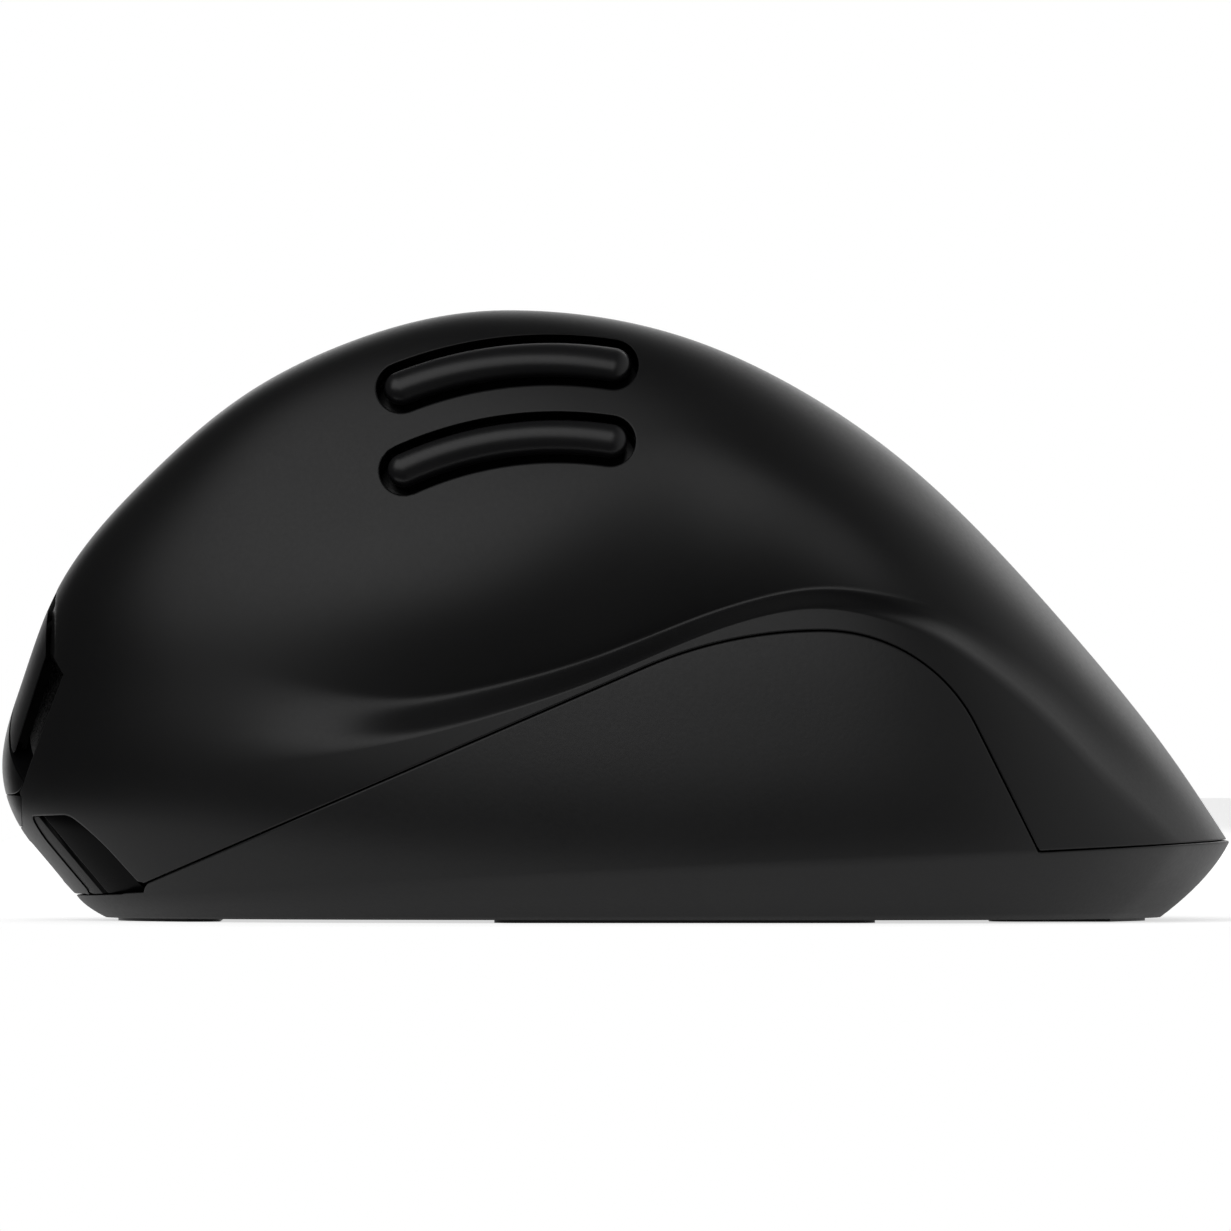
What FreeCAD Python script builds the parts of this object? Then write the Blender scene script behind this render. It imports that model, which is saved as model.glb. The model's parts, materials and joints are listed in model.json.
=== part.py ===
import FreeCAD, Part
import math
import os

from FreeCAD import Placement, Rotation, Vector

os.makedirs("parts", exist_ok=True)

# Ergonomic mouse for the right hand, in millimetres.
# +X is the thumb side, -Y the nose, +Z up. The origin is on the desk under the middle of the mouse.

# Body heights
SUMMIT_Z = 63.1
UNDERSIDE_Z = 0.31
WALL = 2.0
FLOOR_WALL = 2.0

# Profiles of the moulded body: places at shares of the height from the profiles' foot to the summit
PROFILE_FOOT_Z = 2.0
NOSE_Y = [(0, -55.3), (0.128, -61.75), (0.221, -63.5), (0.36, -61.65), (0.54, -57.3), (0.72, -48.2),
          (0.867, -37.3), (0.953, -26.4), (1, -11)]
TAIL_Y = [(0, 67.5), (0.101, 63.5), (0.245, 57.6), (0.437, 48.2), (0.606, 38.9), (0.748, 29.6),
          (0.884, 17.1), (0.966, 4.9), (1, -11)]
THUMB_X = [(0, 38.8), (0.098, 39.5), (0.295, 38), (0.458, 35), (0.622, 30), (0.786, 24),
           (0.917, 18.5), (1, 10)]
FINGER_X = [(0, -39), (0.098, -39.5), (0.295, -37), (0.458, -31.5), (0.622, -24), (0.786, -13.5),
            (0.917, -2), (1, 10)]
CREST_X = [(0, 0), (0.213, 0), (0.458, 4), (0.704, 7), (1, 10)]
WIDEST_Y = [(0, 20), (0.213, 20), (0.458, 17), (0.704, 6), (1, -11)]

# Bluntness of the four quarters of each level outline, where 2 is an ellipse
BLUNT_THUMB_NOSE = 2.35
BLUNT_THUMB_TAIL = 2.2
BLUNT_FINGER_NOSE = 2.4
BLUNT_FINGER_TAIL = 2.3

# Thumb rest: a hollow above a lip that runs the length of the thumb side
REST_NOSE_Y = -70.0
REST_TAIL_Y = 64.0
LIP_NOSE_Y = -45.0
LIP_LOWEST_Z = 14.0
LIP_HIGHEST_Z = 33.0
LEVEL_ROW_Z = 16.0
LIP_Z = [(-45, 15.5), (-22.3, 18.6), (-11.9, 21.4), (-1.6, 25), (8.8, 29.4), (15, 31.4), (21.3, 32.2),
         (27.5, 31.1), (33.7, 28.5), (39.9, 24), (45.1, 19.4), (50.3, 14), (55.5, 9.1), (64, 0)]
REST_DEPTH = [(-70, 0), (-46, 0), (-38, 0.5), (-30, 1.8), (-22, 3.5), (-12, 5.1), (-2, 6.5), (8, 6.8),
              (15, 5.8), (22, 4.6), (30, 3.8), (40, 3.4), (50, 2.8), (64, 1.2)]
SHELF_WIDTH = [(-70, 12), (-40, 12), (-25, 10), (-12, 8.5), (0, 7), (15, 5.5), (30, 5), (64, 4.5)]
HOLLOW_HEIGHT = [(-70, 20), (-30, 20), (-10, 22), (0, 23), (8, 21), (15, 17), (22, 14), (30, 12),
                 (40, 11), (64, 10)]
REST_BLEND_X = 6.0
LIP_FADE_START = -0.15
LIP_FADE_SPAN = 0.5

# Parting line between the body and its base: a sloping belt, with an arch over the thumb-side panel
BELT_NOSE_Z = 2.8
BELT_NOSE_Y = -47.0
BELT_SLOPE = 0.047
PARTING_LIFT = 0.3
ARCH_PEAK_Y = 21.3
ARCH_PEAK_Z = 30.0
ARCH_FRONT_RADIUS = 46.0
ARCH_REAR_RADIUS = 17.5
ARCH_FRONT_ANGLE = 23.4
ARCH_REAR_ANGLE = 63.5

# Undercut of the base: shares of the belt's outline that are left at the underside
UNDERCUT_TAIL = 0.885
UNDERCUT_NOSE = 0.95
UNDERCUT_MIDDLE_Y = 2.0

# Main buttons: two plates over the finger-side slope, with the wheel strip between them
CREST_SPLIT = [(12, 7.9), (-4, 8.2), (-20, 7.6), (-35, 6.8), (-46, 5.6), (-53, 4.8), (-60, 4.4), (-70, 4.2)]
CREST_GAP_REAR = 0.35
CREST_GAP_NOSE = 1.2
CREST_GAP_START_Y = -4.0
CREST_GAP_SPAN = 50.0
PLATE_NOSE_EDGE = [(-58.5, 36.5), (-58.8, 27.2), (-63.05, 14.2)]
SHELL_NOSE_EDGE = [(-57.7, 36.5), (-57.9, 27.8), (-56.9, 25.5), (-61.6, 12.9)]
PLATE_FOOT_Z = 14.2
PLATE_FOOT_SLOPE = 0.115
FOOT_GAP = 0.9
PLATE_REAR = -32.5
REAR_GAP = 0.35
STRIP_WIDTH = 12.0
STRIP_GAP = 0.35
STRIP_FEET = (-24.5, 23.5)
STRIP_FOOT_HALF = (1.5, 2.0)

# Hinges of the main buttons, in the deck's frame: side and depth of each, left then right
HINGE_PLACE = -31.4
HINGES = [(11.5, -13.2), (-12.0, -10.6)]
HINGE_PIN_RADIUS = 1.0
HINGE_CLEARANCE = 0.05
HINGE_SIDE_GAP = 0.3
HINGE_CHEEK = 1.4
HINGE_ARM = 4.6
LUG_RADIUS = 1.9
LUG_WIDTH = 4.0
LUG_WEB = 1.8
LUG_WEB_INSET = 0.1

# Deck: the sloping plane that the buttons, the wheel and their switches are laid out on
DECK_Y = -32.0
DECK_DROP = 21.6
DECK_Z = SUMMIT_Z - DECK_DROP
DECK_TOP = -16.0
DECK_THICKNESS = 1.6
DECK_NOSE = 27.0
DECK_TAIL = -27.0
DECK_CREST = 18.0
DECK_FOOT = -21.0
STRIP_NOSE_Z = 20.0
STRIP_TAIL_Y = -4.0
STRIP_TAIL_Z = 50.0
ROOM = 1.4
BOARD = 1.2
BUTTON_BOARD_PLACES = (4.0, 24.5)
BUTTON_BOARD_SIDES = (-20.5, 19.0)
BOARD_WELL_GAP = 1.0
BOARD_WELL_SIDE = 7.3
BOARD_NOTCH_GAP = 0.5

# Scroll wheel
WHEEL_PLACE = 8.0
WHEEL_DEPTH = -8.0
WHEEL_RADIUS = 12.0
WHEEL_WIDTH = 6.4
TYRE_THICKNESS = 1.7
TYRE_ROUND = 1.1
TYRE_GROOVES = 30
GROOVE_RADIUS = 0.6
GROOVE_LIFT = 0.25
GROOVE_LENGTH = 3.6
HUB_RIM = 1.6
HUB_WEB = 1.6
HUB_BOSS_RADIUS = 2.6
HUB_HOLES = 6
HUB_HOLE_CIRCLE = 5.6
HUB_HOLE_RADIUS = 1.7
AXLE_RADIUS = 1.2
AXLE_CLEARANCE = 0.05
AXLE_REACH = 9.6
AXLE_STUB = 0.4
WHEEL_SLOT_GAP = 0.6
CHEEK_INNER = 4.3
CHEEK_THICKNESS = 1.5
CHEEK_HALF = 5.0
CHEEK_TOP = 2.6
RAIL_DROP = 3.0
YOKE_REACH = 15.6
YOKE_WALL = 1.5
YOKE_FOOT = -12.2
YOKE_TOP = 1.2
TONGUE_HALF = 2.0
ENCODER_HALF = 4.5
ENCODER_THICKNESS = 3.6
ENCODER_FOOT = -13.0
ENCODER_TOP = 2.2
PRESS_TRAVEL = 0.5
PRESS_GAP = 0.35

# Switches: body length, width and height, and the plunger that stands on each
MAIN_SWITCH = (12.8, 5.8, 6.5)
MAIN_SWITCH_PLACE = 8.0
LEFT_SWITCH_SIDE = 12.0
RIGHT_SWITCH_SIDE = -13.5
PLUNGER_RADIUS = 1.0
PLUNGER_HEIGHT = 0.9
PLUNGER_SINK = 0.8
PLUNGER_WELL = 1.5
PLUNGER_CLEARANCE = 0.15
CLICK_POST_RADIUS = 1.6
FOOT_SINK = 1.0
SWITCH_GAP = 0.3
TACT_WIDTH = 6.0
MIDDLE_SWITCH_PLACE = -11.3
MIDDLE_SWITCH_HEIGHT = 7.0

# Speed button behind the wheel
SPEED_PLACE = -17.8
SPEED_LENGTH = 8.0
SPEED_WIDTH = 5.0
SPEED_GAP = 0.3
SPEED_CORNER = 1.5
SPEED_HOLE_DEPTH = -9.5
SPEED_CAP_DEPTH = -6.0
SPEED_STEM_RADIUS = 1.5
SPEED_STEM_SINK = 0.5
SPEED_SWITCH_HEIGHT = 6.0
SPEED_PROUD = 0.4

# Thumb buttons: curved bars in slots, as (y, drop below the summit) seen from the thumb side
UPPER_DROPS = [(-22.0, 8.1), (-7.2, 5.2), (-0.2, 5.7)]
LOWER_DROPS = [(-21.65, 16.6), (-6.0, 13.2), (-0.5, 13.6)]
UPPER_BAR = [(y, SUMMIT_Z - drop) for y, drop in UPPER_DROPS]
LOWER_BAR = [(y, SUMMIT_Z - drop) for y, drop in LOWER_DROPS]
SLOT_HALF_HEIGHT = 2.6
BAR_GAP = 0.85
BAR_PROUD = 0.7
BAR_DEPTH = 3.2
BAR_START_X = 10.5
THUMB_WALL_X = 5.4
THUMB_WALL = 1.4
THUMB_WALL_Y = (-25.0, 3.0)
THUMB_WALL_BELOW = 8.2
THUMB_WALL_ABOVE = 0.9
THUMB_BOARD_Y = (-20.0, 2.0)
THUMB_BOARD_BELOW = 6.7
THUMB_BOARD_ABOVE = 2.9
THUMB_BOARD = 1.0
THUMB_SWITCH_DEPTH = 3.4
THUMB_SWITCH_HEIGHT = 3.6
THUMB_STEM = 1.4

# Legs of the inner frame, as spans of x and y
FINGER_LEG = ((-26.5, -22.5), (-8.0, -3.0))
THUMB_LEG = ((5.8, 8.8), (-13.0, -9.5))
LEG_NOTCH = 0.5

# Nose pieces
CHIN_TOP_Z = PLATE_FOOT_Z - FOOT_GAP
CHIN_FOOT_Z = 9.7
CHIN_REAR_Y = -61.4
CHIN_HALF_WIDTH = 6.0
CHIN_DEPTH_Y = -58.6
TRIM_GAP = 0.05
INLAY_EDGE = [(-60.3, 10.8), (-56.3, 11.0), (-53.4, 8.8), (-48.2, 3.1), (-54.1, 2.75), (-59.6, 9.3)]
INLAY_INWARD = (-0.57, 0.82, 0.0)
INLAY_RECESS = 0.35
INLAY_TILT = 8.0
INLAY_WALL = 2.0
INLAY_START_X = 9.0
INLAY_SEAM_PLACE = 1.15
INLAY_SEAM_WIDTH = 0.3
INLAY_SEAM_DEPTH = 0.5

# Charging socket in the middle of the nose
SOCKET_WIDTH = 8.9
SOCKET_HEIGHT = 3.2
SOCKET_WALL = 0.3
SOCKET_Z = 6.1
SOCKET_MOUTH_Y = -56.6
SOCKET_LENGTH = 7.4
SOCKET_CLEARANCE = 0.35
SOCKET_ROUND = 0.92
SOCKET_CUT_Y = -50.0
SOCKET_BACK = 0.8
CONTACT_WIDTH = 6.6
CONTACT_THICKNESS = 0.7
CONTACT_SET_BACK = 0.8

# Base: main board, its parts and the battery
MAIN_BOARD_X = (-19.0, 22.0)
MAIN_BOARD_Y = (-48.5, 9.0)
MAIN_BOARD_Z = 7.6
STANDOFFS = [(-15.0, -22.0), (18.0, -22.0), (-15.0, 5.0), (18.0, 5.0)]
STANDOFF_RADIUS = 2.6
BOSS_SINK = 0.5
BOARD_SCREW_RADIUS = 1.0
BOARD_SCREW_LENGTH = 4.0
BOARD_SCREW_HEAD = (1.8, 1.1)
SCREW_CLEARANCE = 0.05
BOARD_HOLE_GAP = 0.15
LENS_Y = -12.0
LENS_LENGTH = 9.0
LENS_WIDTH = 7.0
LENS_CLEARANCE = 0.1
LENS_CORNER = 2.0
LENS_RECESS = 0.4
LENS_FLANGE = 2.0
LENS_FLANGE_THICKNESS = 1.2
SENSOR_SIZE = (10.0, 11.0)
POWER_Y = -2.0
POWER_X = -9.0
POWER_SLOT = (3.2, 8.0)
POWER_SWITCH = (6.0, 10.0)
UNDER_BOARD_GAP = 1.2
SLIDER_GAP = 0.3
SLIDER_START = 0.4
SLIDER_LENGTH = 4.2
SLIDER_RECESS = 0.4
SLIDER_RISE = 0.9
SLIDER_RIBS = 3
SLIDER_RIB_START = 1.1
SLIDER_RIB_PITCH = 1.0
SLIDER_RIB_WIDTH = 0.4
SLIDER_RIB_DEPTH = 0.3
PAIR_X = 9.0
PAIR_RADIUS = 2.4
PAIR_TRAVEL = 0.4
PAIR_RECESS = 0.35
PAIR_RISE = 1.6
RADIO_X = (-12.0, -2.0)
RADIO_Y = (-8.0, 6.0)
RADIO_HEIGHT = 1.8
RADIO_CORNER = 0.8
BATTERY_X = (-17.0, 17.0)
BATTERY_Y = (13.0, 41.0)
BATTERY_HEIGHT = 7.5
BATTERY_CORNER = 2.0
FENCE = 1.2
FENCE_HEIGHT = 4.0
SEAT_GAP = 0.2

# Screws that hold the halves together, under the skates
SCREW_PLACES = [(14.0, -45.5), (-14.0, -45.5), (15.0, 46.0), (-15.0, 46.0)]
SCREW_RADIUS = 1.1
SCREW_HEAD_RADIUS = 2.1
SCREW_HEAD = 1.2
SCREW_LENGTH = 8.0
SCREW_SINK = 0.1
SCREW_TIP_GAP = 0.4
POST_RADIUS = 3.0

# Skates, trimmed to the edge of the underside: name, middle x, nose and tail end y, width, corner radius
SKATES = [
    ("front_skate", 0.0, -51.4, -40.7, 38.0, 3.5),
    ("mid_left_skate", 28.0, -12.4, 26.7, 8.0, 3.8),
    ("mid_right_skate", -28.0, -6.3, 24.0, 8.0, 3.8),
    ("rear_left_skate", 12.0, 38.6, 55.2, 13.0, 3.5),
    ("rear_right_skate", -12.0, 38.6, 54.6, 13.0, 3.5),
]
SKATE_MARGIN = 1.1
SKATE_RECESS = 0.5
SKATE_CLEARANCE = 0.01
SKATE_GAP = 0.15

# Sampling of the body surface
COLUMN_COUNT = 40
LIP_ROW_COUNT = 5
UPPER_ROW_COUNT = 11
BOWL_ROW_COUNT = 3
CAVITY_COLUMN_COUNT = 20
STEEP_SHARE = 0.15
CAVITY_ROWS = (0.0, 0.17, 0.31, 0.43, 0.55, 0.67, 0.8, 0.92)
FLOOR_INSET = 0.5
CAVITY_FOOT = 1.0


def smooth_curve(points):
    """Natural cubic curve through (place, value) points, as a function of the place."""
    xs = [float(p[0]) for p in points]
    ys = [float(p[1]) for p in points]
    count = len(xs)
    steps = [xs[i + 1] - xs[i] for i in range(count - 1)]
    upper = [0.0] * count
    right = [0.0] * count
    for i in range(1, count - 1):
        pull = 6 * ((ys[i + 1] - ys[i]) / steps[i] - (ys[i] - ys[i - 1]) / steps[i - 1])
        pivot = 2 * (steps[i - 1] + steps[i]) - steps[i - 1] * upper[i - 1]
        upper[i] = steps[i] / pivot
        right[i] = (pull - steps[i - 1] * right[i - 1]) / pivot
    bends = [0.0] * count
    for i in range(count - 2, 0, -1):
        bends[i] = right[i] - upper[i] * bends[i + 1]

    def value(x):
        i = 0
        while i < count - 2 and x > xs[i + 1]:
            i += 1
        past = x - xs[i]
        left = xs[i + 1] - x
        step = steps[i]
        bend = (bends[i] * left ** 3 + bends[i + 1] * past ** 3) / (6 * step)
        start = (ys[i] / step - bends[i] * step / 6) * left
        end = (ys[i + 1] / step - bends[i + 1] * step / 6) * past
        return bend + start + end

    return value


def height_share(z):
    return (z - PROFILE_FOOT_Z) / (SUMMIT_Z - PROFILE_FOOT_Z)


def dome_place(share):
    """Place along a dome profile that is level at the summit: the root of the depth below it."""
    return -math.sqrt(max(1.0 - share, 0.0))


def dome_curve(points):
    """Smooth profile of height that closes level at the summit."""
    curve = smooth_curve([(dome_place(share), value) for share, value in points])
    return lambda z: curve(dome_place(height_share(z)))


nose_y = dome_curve(NOSE_Y)
tail_y = dome_curve(TAIL_Y)
thumb_x = dome_curve(THUMB_X)
finger_x = dome_curve(FINGER_X)
crest_x = smooth_curve(CREST_X)
widest_y = smooth_curve(WIDEST_Y)
lip_z = smooth_curve(LIP_Z)
rest_depth = smooth_curve(REST_DEPTH)
shelf_width = smooth_curve(SHELF_WIDTH)
hollow_height = smooth_curve(HOLLOW_HEIGHT)


def limit(value, low, high):
    return max(low, min(high, value))


def ease(t):
    """Smooth step from 0 to 1."""
    t = limit(t, 0.0, 1.0)
    return t * t * (3 - 2 * t)


def lean(c):
    """Blend weight from -1 to 1 for a direction's cosine or sine."""
    return c * (3 - c * c) / 2


def rest_hollow(y, z):
    """Depth of the thumb rest: it rises over the shelf and fades out up the wall."""
    y = limit(y, REST_NOSE_Y, REST_TAIL_Y)
    width = shelf_width(y)
    above = z - lip_z(y)
    rise = ease(above / width)
    fade = limit((above - 0.35 * width) / hollow_height(y), 0.0, 1.0)
    return max(rest_depth(y), 0.0) * rise * (1 - fade) ** 2 * (1 + 0.6 * fade)


def level_point(azimuth, z):
    """Point of the level outline at height z; azimuth 0 is the thumb side, 90 the tail."""
    c = math.cos(azimuth)
    s = math.sin(azimuth)
    middle_x = crest_x(height_share(z))
    middle_y = widest_y(height_share(z))
    to_thumb = thumb_x(z) - middle_x
    to_finger = middle_x - finger_x(z)
    to_nose = middle_y - nose_y(z)
    to_tail = tail_y(z) - middle_y
    half_width = (to_thumb + to_finger) / 2 + (to_thumb - to_finger) / 2 * lean(c)
    half_length = (to_tail + to_nose) / 2 + (to_tail - to_nose) / 2 * lean(s)
    thumbward = (1 + lean(c)) / 2
    tailward = (1 + lean(s)) / 2
    blunt_thumb = BLUNT_THUMB_TAIL * tailward + BLUNT_THUMB_NOSE * (1 - tailward)
    blunt_finger = BLUNT_FINGER_TAIL * tailward + BLUNT_FINGER_NOSE * (1 - tailward)
    blunt = blunt_thumb * thumbward + blunt_finger * (1 - thumbward)
    reach = (abs(c) ** blunt + abs(s) ** blunt) ** (-1 / blunt)
    x = middle_x + half_width * reach * c
    y = middle_y + half_length * reach * s
    x -= rest_hollow(y, z) * ease((x - middle_x) / REST_BLEND_X)
    return Vector(x, y, z)


def belt_z(y):
    return BELT_NOSE_Z + (y - BELT_NOSE_Y) * BELT_SLOPE


def belt_height(azimuth):
    z = BELT_NOSE_Z
    for _ in range(4):
        z = belt_z(level_point(azimuth, z).y)
    return z


def lip_height(azimuth):
    """Height of the row that follows the lip on the thumb side and stays level elsewhere."""
    z = (LIP_LOWEST_Z + LIP_HIGHEST_Z) / 2
    for _ in range(6):
        y = limit(level_point(azimuth, z).y, LIP_NOSE_Y, REST_TAIL_Y)
        z = limit(lip_z(y), LIP_LOWEST_Z, LIP_HIGHEST_Z)
    return LEVEL_ROW_Z + (z - LEVEL_ROW_Z) * ease((math.cos(azimuth) - LIP_FADE_START) / LIP_FADE_SPAN)


def skin_point(azimuth, v):
    """Point of the body above the belt; v runs from 0 at the belt to 1 at the summit."""
    lip_v = LIP_ROW_COUNT / (LIP_ROW_COUNT + UPPER_ROW_COUNT)
    lip = lip_height(azimuth)
    if v <= lip_v:
        belt = belt_height(azimuth)
        z = belt + (lip - belt) * (1 - (1 - v / lip_v) ** 1.5)
    else:
        w = (v - lip_v) / (1 - lip_v)
        level = (1 - math.cos(math.pi * w)) / 2
        steep = 1 - (1 - w) ** 2
        z = lip + (SUMMIT_Z - lip) * (level + STEEP_SHARE * (steep - level))
    return level_point(azimuth, min(z, SUMMIT_Z))


def bowl_point(azimuth, s):
    """Point of the undercut base below the belt; s runs from 0 at the underside to 1 at the belt."""
    belt = level_point(azimuth, belt_height(azimuth))
    keep = UNDERCUT_TAIL + (UNDERCUT_NOSE - UNDERCUT_TAIL) * ease((-math.sin(azimuth) - 0.2) / 0.8)
    share = keep + (1 - keep) * s * (1.45 - 0.45 * s)
    z = UNDERSIDE_Z + (belt.z - UNDERSIDE_Z) * s
    return Vector(belt.x * share, UNDERCUT_MIDDLE_Y + (belt.y - UNDERCUT_MIDDLE_Y) * share, z)


def ring_poles(points):
    """Poles of the closed even cubic curve through a ring of points."""
    poles = list(points)
    count = len(points)
    for _ in range(40):
        poles = [points[i] * 1.5 - (poles[i - 1] + poles[(i + 1) % count]) * 0.25 for i in range(count)]
    return poles


def strip_poles(points):
    """Poles of the open even cubic curve through points, free of bending at both ends."""
    count = len(points)
    upper = [0.0] * count
    right = [Vector()] * count
    for i in range(1, count - 1):
        pull = (points[i + 1] - points[i] * 2 + points[i - 1]) * 6
        pivot = 4.0 - upper[i - 1]
        upper[i] = 1.0 / pivot
        right[i] = (pull - right[i - 1]) * upper[i]
    bends = [Vector()] * count
    for i in range(count - 2, 0, -1):
        bends[i] = right[i] - bends[i + 1] * upper[i]
    start = (points[1] - points[0]) - (bends[0] * 2 + bends[1]) * (1 / 6)
    end = (points[-1] - points[-2]) + (bends[-1] * 2 + bends[-2]) * (1 / 6)
    inner = [points[i] - bends[i] * (1 / 6) for i in range(1, count - 1)]
    return [points[0], points[0] + start * (1 / 3)] + inner + [points[-1] - end * (1 / 3), points[-1]]


def skin_face(rows):
    """Smooth face through rows of points, each row a closed ring."""
    rings = [ring_poles(row) for row in rows]
    columns = len(rings[0])
    strips = [strip_poles([ring[i] for ring in rings]) for i in range(columns)]
    count = len(strips[0])
    surface = Part.BSplineSurface()
    surface.buildFromPolesMultsKnots(
        strips,
        [1] * (columns + 1),
        [4] + [1] * (count - 4) + [4],
        [float(i) for i in range(columns + 1)],
        [float(i) for i in range(count - 2)],
        True,
        False,
        3,
        3,
    )
    return surface.toShape()


def rings_solid(rings, tip):
    """Flat-sided solid through rings of points, closed by a floor below and a tip above."""
    faces = []
    count = len(rings[0])
    for low, high in zip(rings, rings[1:]):
        for i in range(count):
            j = (i + 1) % count
            faces.append(flat_face([low[i], low[j], high[j]]))
            faces.append(flat_face([low[i], high[j], high[i]]))
    for i in range(count):
        faces.append(flat_face([rings[-1][i], rings[-1][(i + 1) % count], tip]))
    faces.append(flat_face(rings[0]))
    return closed_solid(faces)


def flat_face(points):
    return Part.Face(Part.makePolygon(points + [points[0]]))


def closed_solid(faces):
    """Solid between faces that share their edges, with flat caps on its open rings."""
    shell = Part.makeShell(faces)
    shell.sewShape()
    return Part.makeSolid(shell)


def flat_cap(face):
    """Flat face that closes the lowest ring of a skin face."""
    lowest = min(face.Edges, key=lambda edge: edge.BoundBox.ZMax)
    return Part.Face(Part.Wire([lowest]))


def ring_azimuths(columns):
    return [2 * math.pi * i / columns - math.pi / 2 for i in range(columns)]


def body_solid():
    """Outer form of the whole mouse body, from its underside to the summit."""
    azimuths = ring_azimuths(COLUMN_COUNT)
    bowl = [[bowl_point(a, i / BOWL_ROW_COUNT) for a in azimuths] for i in range(BOWL_ROW_COUNT + 1)]
    rows = LIP_ROW_COUNT + UPPER_ROW_COUNT
    upper = [[skin_point(a, i / rows) for a in azimuths] for i in range(rows + 1)]
    lower_face = skin_face(bowl)
    upper_face = skin_face(upper)
    return closed_solid([lower_face, upper_face, flat_cap(lower_face)])


def inward_point(azimuth, v, depth):
    """Point at a depth under the skin, along the skin's own normal."""
    turn = 0.06
    step = 0.03
    low = max(v - step, 0.0)
    high = min(v + step, 1.0)
    across = skin_point(azimuth + turn, v) - skin_point(azimuth - turn, v)
    upward = skin_point(azimuth, high) - skin_point(azimuth, low)
    outward = across.cross(upward).normalize()
    return skin_point(azimuth, v) - outward * depth


def cavity_solid(wall):
    """Room inside the housing, its walls flat-sided between rows of points."""
    azimuths = ring_azimuths(CAVITY_COLUMN_COUNT)
    floor_z = UNDERSIDE_Z + FLOOR_WALL
    floor = []
    for a in azimuths:
        point = bowl_point(a, 0.0)
        inset = 1 - (wall + FLOOR_INSET) / math.hypot(point.x, point.y)
        floor.append(Vector(point.x * inset, point.y * inset, floor_z))
    rings = [floor]
    for v in CAVITY_ROWS:
        ring = [inward_point(a, v, wall) for a in azimuths]
        rings.append([Vector(p.x, p.y, max(p.z, floor_z + CAVITY_FOOT)) for p in ring])
    return rings_solid(rings, skin_point(0.0, 1.0) - Vector(0, 0, wall))


def point_at(y, z, side):
    """Point of the skin at a given y and height, on the thumb side (1) or the finger side (-1)."""
    low = 0.0
    high = math.pi
    for _ in range(40):
        middle = (low + high) / 2
        if level_point(side * middle - math.pi / 2, z).y > y:
            high = middle
        else:
            low = middle
    return level_point(side * low - math.pi / 2, z)


def finger_point(y, z):
    return point_at(y, z, -1)


def deck_placement():
    """Frame of the deck: its x runs to the nose, its y up to the crest and its z out of the skin."""
    centre = finger_point(DECK_Y, DECK_Z)
    along = finger_point(DECK_Y + 1, DECK_Z) - finger_point(DECK_Y - 1, DECK_Z)
    upward = finger_point(DECK_Y, DECK_Z + 1) - finger_point(DECK_Y, DECK_Z - 1)
    outward = upward.cross(along).normalize()
    aim = level_point(-math.pi / 2, STRIP_NOSE_Z) - finger_point(STRIP_TAIL_Y, STRIP_TAIL_Z)
    forward = (aim - outward * aim.dot(outward)).normalize()
    return Placement(centre, Rotation(forward, outward.cross(forward), outward, "ZXY"))


DECK = deck_placement()


def on_deck(shape):
    """A shape drawn in the deck's frame, put in its place in the mouse."""
    placed = shape.copy()
    placed.Placement = DECK.multiply(placed.Placement)
    return placed


def block(xs, ys, zs):
    low = Vector(xs[0], ys[0], zs[0])
    return Part.makeBox(xs[1] - xs[0], ys[1] - ys[0], zs[1] - zs[0], low)


def deck_block(xs, ys, zs):
    return on_deck(block(xs, ys, zs))


def rounded_block(xs, ys, zs, radius):
    box = block(xs, ys, zs)
    upright = [edge for edge in box.Edges if abs(edge.tangentAt(0).z) > 0.9]
    return box.makeFillet(radius, upright)


def side_prism(outline, x_low, x_high):
    """Prism along X over an outline of (y, z) corners seen from the thumb side."""
    corners = [Vector(x_low, y, z) for y, z in outline]
    return flat_face(corners).extrude(Vector(x_high - x_low, 0, 0))


FAR = 90.0
CUT_BELOW = -30.0
CUT_ABOVE = 20.0


def arch_prism():
    """Region of the base that shows on the thumb side, under its arched parting line."""
    front_centre_z = ARCH_PEAK_Z - ARCH_FRONT_RADIUS
    rear_centre_z = ARCH_PEAK_Z - ARCH_REAR_RADIUS
    front = math.radians(ARCH_FRONT_ANGLE)
    rear = math.radians(ARCH_REAR_ANGLE)

    def on_front(angle):
        y = ARCH_PEAK_Y - ARCH_FRONT_RADIUS * math.sin(angle)
        return Vector(0, y, front_centre_z + ARCH_FRONT_RADIUS * math.cos(angle))

    def on_rear(angle):
        y = ARCH_PEAK_Y + ARCH_REAR_RADIUS * math.sin(angle)
        return Vector(0, y, rear_centre_z + ARCH_REAR_RADIUS * math.cos(angle))

    peak = Vector(0, ARCH_PEAK_Y, ARCH_PEAK_Z)
    start = on_front(front)
    end = on_rear(rear)
    nose_foot = Vector(0, start.y - start.z / math.tan(front), 0)
    tail_foot = Vector(0, end.y + end.z / math.tan(rear), 0)
    edges = [
        Part.makeLine(nose_foot, start),
        Part.Arc(start, on_front(front / 2), peak).toShape(),
        Part.Arc(peak, on_rear(rear / 2), end).toShape(),
        Part.makeLine(end, tail_foot),
        Part.makeLine(tail_foot, nose_foot),
    ]
    return Part.Face(Part.Wire(edges)).extrude(Vector(FAR, 0, 0))


def base_zone():
    """Everything below the belt, with the arch on the thumb side."""
    below = block((-FAR, FAR), (-FAR, FAR), (-FAR, 0))
    tilt = Rotation(Vector(1, 0, 0), math.degrees(math.atan(BELT_SLOPE)))
    below.Placement = Placement(Vector(0, 0, belt_z(0.0) + PARTING_LIFT), tilt)
    return below.fuse(arch_prism())


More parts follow.
